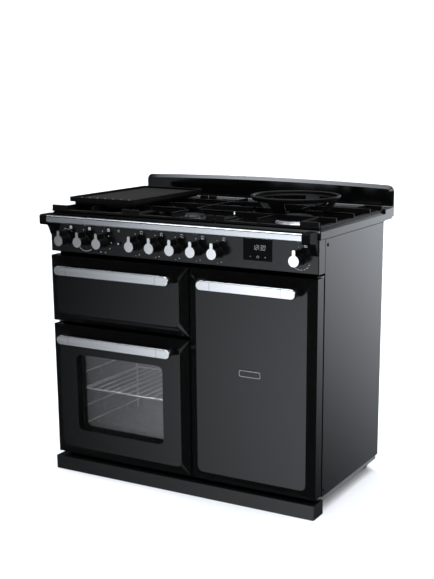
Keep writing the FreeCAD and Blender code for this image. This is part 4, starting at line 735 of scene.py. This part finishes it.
def badge():
    """Small plate on the tall door: a bright rim round a bare dark field."""
    x0, z0, x1, z1 = 0.2345, 0.4290, 0.3125, 0.4520
    thick, rim_thick = 0.0012, 0.0004

    def outline(inset, radius):
        return rounded_outline(x0 + inset, z0 + inset, x1 - inset, z1 - inset, radius)

    back = piece("badge_plate", plates("badge_plate", [outline(0.0, 0.005)], thick),
                 GLOSS, "right_oven_door")
    outer, inner = outline(0.0012, 0.0042), outline(0.0030, 0.0028)
    strips = []
    for index in range(len(outer)):
        after = (index + 1) % len(outer)
        strips.append([outer[index], outer[after], inner[after], inner[index]])
    rim = piece("badge_rim", plates("badge_rim", strips, rim_thick),
                WIRES, "right_oven_door")
    back.matrix_world = Matrix.Translation((0, FACE, 0))
    rim.matrix_world = Matrix.Translation((0, FACE - thick, 0))


badge()


def screw_heads():
    """Domed black screw heads over the two holes of each side panel."""
    in_from_edge, radius, flatness = 0.0010, 0.0056, 0.17
    turn = Matrix.Rotation(math.pi / 2, 4, "Y") @ Matrix.Diagonal((1, 1, flatness, 1))
    made = bmesh.new()
    for side in (-1, 1):
        for y, z in ((RIM + 0.066, 0.853), (RIM + 0.061, 0.076)):
            place = Matrix.Translation((side * (SIDE - in_from_edge), y, z)) @ turn
            bmesh.ops.create_uvsphere(made, u_segments=16, v_segments=8, radius=radius, matrix=place)
    piece("side_screws", mesh_of("side_screws", made), FRAME, "cabinet")


screw_heads()


def side_shadow_gaps():
    """Thin black strip along the gap between the hob's edge and the top of each side panel: painted shadow
    in that gap.
    """
    low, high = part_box("side_panels")
    deep, proud, short, below, above = 0.0060, 0.0004, 0.002, 0.0012, 0.0006
    made = bmesh.new()
    for side in (-1, 1):
        inner, outer = sorted((side * (high[0] - deep), side * (high[0] + proud)))
        blocks(made, [(inner, outer, low[1] + short, high[1] - short, high[2] - below, high[2] + above)])
    # The black strip stands for the shadow in the gap: painted shade.
    piece("side_shadow_gaps", mesh_of("side_shadow_gaps", made), RUBBER, "cabinet")


side_shadow_gaps()


def side_strips():
    """Painted strip along each side edge of the hob."""
    inner, outer = SIDE - 0.0010, SIDE + 0.0002
    strip = (RIM + 0.011, RIM + 0.575, 0.8756, 0.8966)
    made = bmesh.new()
    blocks(made, [(-outer, -inner, *strip), (inner, outer, *strip)])
    piece("side_strips", mesh_of("side_strips", made), SIDES, "cabinet")


side_strips()


def button_glint():
    """Small white dot on the face of the light button: a painted highlight."""
    low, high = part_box("light_button")
    centre = (low[0] + high[0]) / 2, (low[2] + high[2]) / 2
    # The white dot stands for the button's glint: a painted highlight.
    made = plates("button_glint", [dot(*centre, 0.0026)], PRINT)
    mark = piece("button_glint", made, INK, "light_button")
    mark.matrix_world = Matrix.Translation((0, low[1], 0))


button_glint()


# ---------------------------------------------------------------- studio

def aim(azimuth, elevation):
    """A direction; azimuth 0 is in front of the cooker, and positive to its right."""
    a, e = math.radians(azimuth), math.radians(elevation)
    return math.sin(a) * math.cos(e), -math.cos(a) * math.cos(e), math.sin(e)


class Sky:
    """The world's strength, put together from patches of light."""

    def __init__(self, world):
        world.use_nodes = True
        self.nodes, self.links = world.node_tree.nodes, world.node_tree.links
        self.direction = self.nodes.new("ShaderNodeTexCoord").outputs["Generated"]

    def ease(self, value, low, high, top=1.0):
        """Nought where the value is at low and top where it is at high, with a soft change between."""
        node = self.nodes.new("ShaderNodeMapRange")
        node.interpolation_type = "SMOOTHSTEP"
        self.links.new(value, node.inputs["Value"])
        for name, item in (("From Min", low), ("From Max", high), ("To Min", 0.0), ("To Max", top)):
            node.inputs[name].default_value = item
        return node.outputs["Result"]

    def math(self, kind, first, second=None):
        """A sum or product of two patches, or a function of one."""
        node = self.nodes.new("ShaderNodeMath")
        node.operation = kind
        self.links.new(first, node.inputs[0])
        if second is not None:
            self.links.new(second, node.inputs[1])
        return node.outputs[0]

    def lobe(self, towards, inner, outer, strength):
        """Soft patch of light: full inside the inner angle, gone outside the outer one."""
        near = self.nodes.new("ShaderNodeVectorMath")
        near.operation = "DOT_PRODUCT"
        self.links.new(self.direction, near.inputs[0])
        near.inputs[1].default_value = Vector(towards).normalized()
        angle = self.math("ARCCOSINE", near.outputs["Value"])
        return self.ease(angle, math.radians(outer), math.radians(inner), strength)

    def fade(self, patch, axis, low, high):
        """The same patch, gone where the direction's share of an axis is at low and whole at high."""
        split = self.nodes.new("ShaderNodeSeparateXYZ")
        self.links.new(self.direction, split.inputs[0])
        return self.math("MULTIPLY", patch, self.ease(split.outputs[axis], low, high))

    def finish(self, patches, everywhere, colour):
        """The patches added up, and an even light from everywhere."""
        total = patches[0]
        for patch in patches[1:]:
            total = self.math("ADD", total, patch)
        final = self.nodes.new("ShaderNodeMath")
        self.links.new(total, final.inputs[0])
        final.inputs[1].default_value = everywhere
        background = self.nodes["Background"]
        self.links.new(final.outputs[0], background.inputs["Strength"])
        background.inputs["Color"].default_value = colour


def world_light():
    """Soft patches of light around the cooker, which its enamel mirrors, and a faint even light."""
    faint, cool_white = 0.035, (0.89, 0.935, 1.0, 1)
    world = bpy.data.worlds.new("studio")
    bpy.context.scene.world = world
    sky = Sky(world)
    patches = [
        sky.lobe(aim(-16, -15), 2, 26, 2.7),       # low in front
        sky.lobe(aim(0, 88), 20, 42, 5.3),         # overhead
        sky.lobe(aim(-152, 10), 2, 16, 0.22),      # low behind, at the left
        sky.lobe(aim(-72, 60), 2, 9, 7.0),         # high at the left
        sky.lobe(aim(-133, 50), 3, 13, 7.0)]       # high behind, at the left
    behind = sky.lobe(aim(185, 20), 12, 53, 7.9)
    patches.append(sky.fade(sky.fade(behind, "X", -0.35, -0.05), "Z", 0.40, 0.08))
    sky.finish(patches, faint, cool_white)


def pale_floor():
    """Wide floor that takes the shadow but isn't mirrored in the enamel."""
    made = bmesh.new()
    bmesh.ops.create_grid(made, x_segments=1, y_segments=1, size=30)
    floor = linked("floor", mesh_of("floor", made))
    m = Shader("pale_floor")
    m.base(Base_Color=m.mix(m.noise(0.8, 2.0), grey(0.90), grey(0.92)), Roughness=0.9)
    floor.data.materials.append(m.material)
    floor.location.z = -0.0005
    floor.visible_glossy = False
    return floor


def white_dome():
    """White shell round everything, which only the camera sees."""
    made = bmesh.new()
    bmesh.ops.create_icosphere(made, subdivisions=3, radius=28)
    dome = linked("dome", mesh_of("dome", made))
    shell = bpy.data.materials.new("white_backdrop")
    shell.use_nodes = True
    tree = shell.node_tree
    tree.nodes.clear()
    glow = tree.nodes.new("ShaderNodeEmission")
    glow.inputs["Strength"].default_value = 1.0
    out = tree.nodes.new("ShaderNodeOutputMaterial")
    tree.links.new(glow.outputs[0], out.inputs["Surface"])
    dome.data.materials.append(shell)
    for ray in ("diffuse", "glossy", "transmission", "volume_scatter", "shadow"):
        setattr(dome, "visible_" + ray, False)
    return dome


def area_lamp(name, place, target, size, power):
    """A rectangular lamp turned towards its target."""
    lamp = bpy.data.lights.new(name, "AREA")
    lamp.shape = "RECTANGLE"
    lamp.size, lamp.size_y = size
    lamp.energy = power
    thing = linked(name, lamp)
    thing.location = place
    thing.rotation_euler = (Vector(target) - Vector(place)).to_track_quat("-Z", "Y").to_euler()


def studio():
    """Everything around the cooker."""
    view = bpy.context.scene.view_settings
    view.view_transform = "Standard"
    view.look = "None"
    world_light()
    pale_floor()
    white_dome()
    window = -0.225              # near the middle of the left door's glass
    area_lamp("key_right", (3.2, -1.2, 2.6), (0, 0, 0.5), (1.8, 1.8), 60)
    area_lamp("oven_lamp", (window, RIM + 0.12, 0.495), (window, RIM + 0.30, 0.10), (0.36, 0.22), 9.0)


studio()
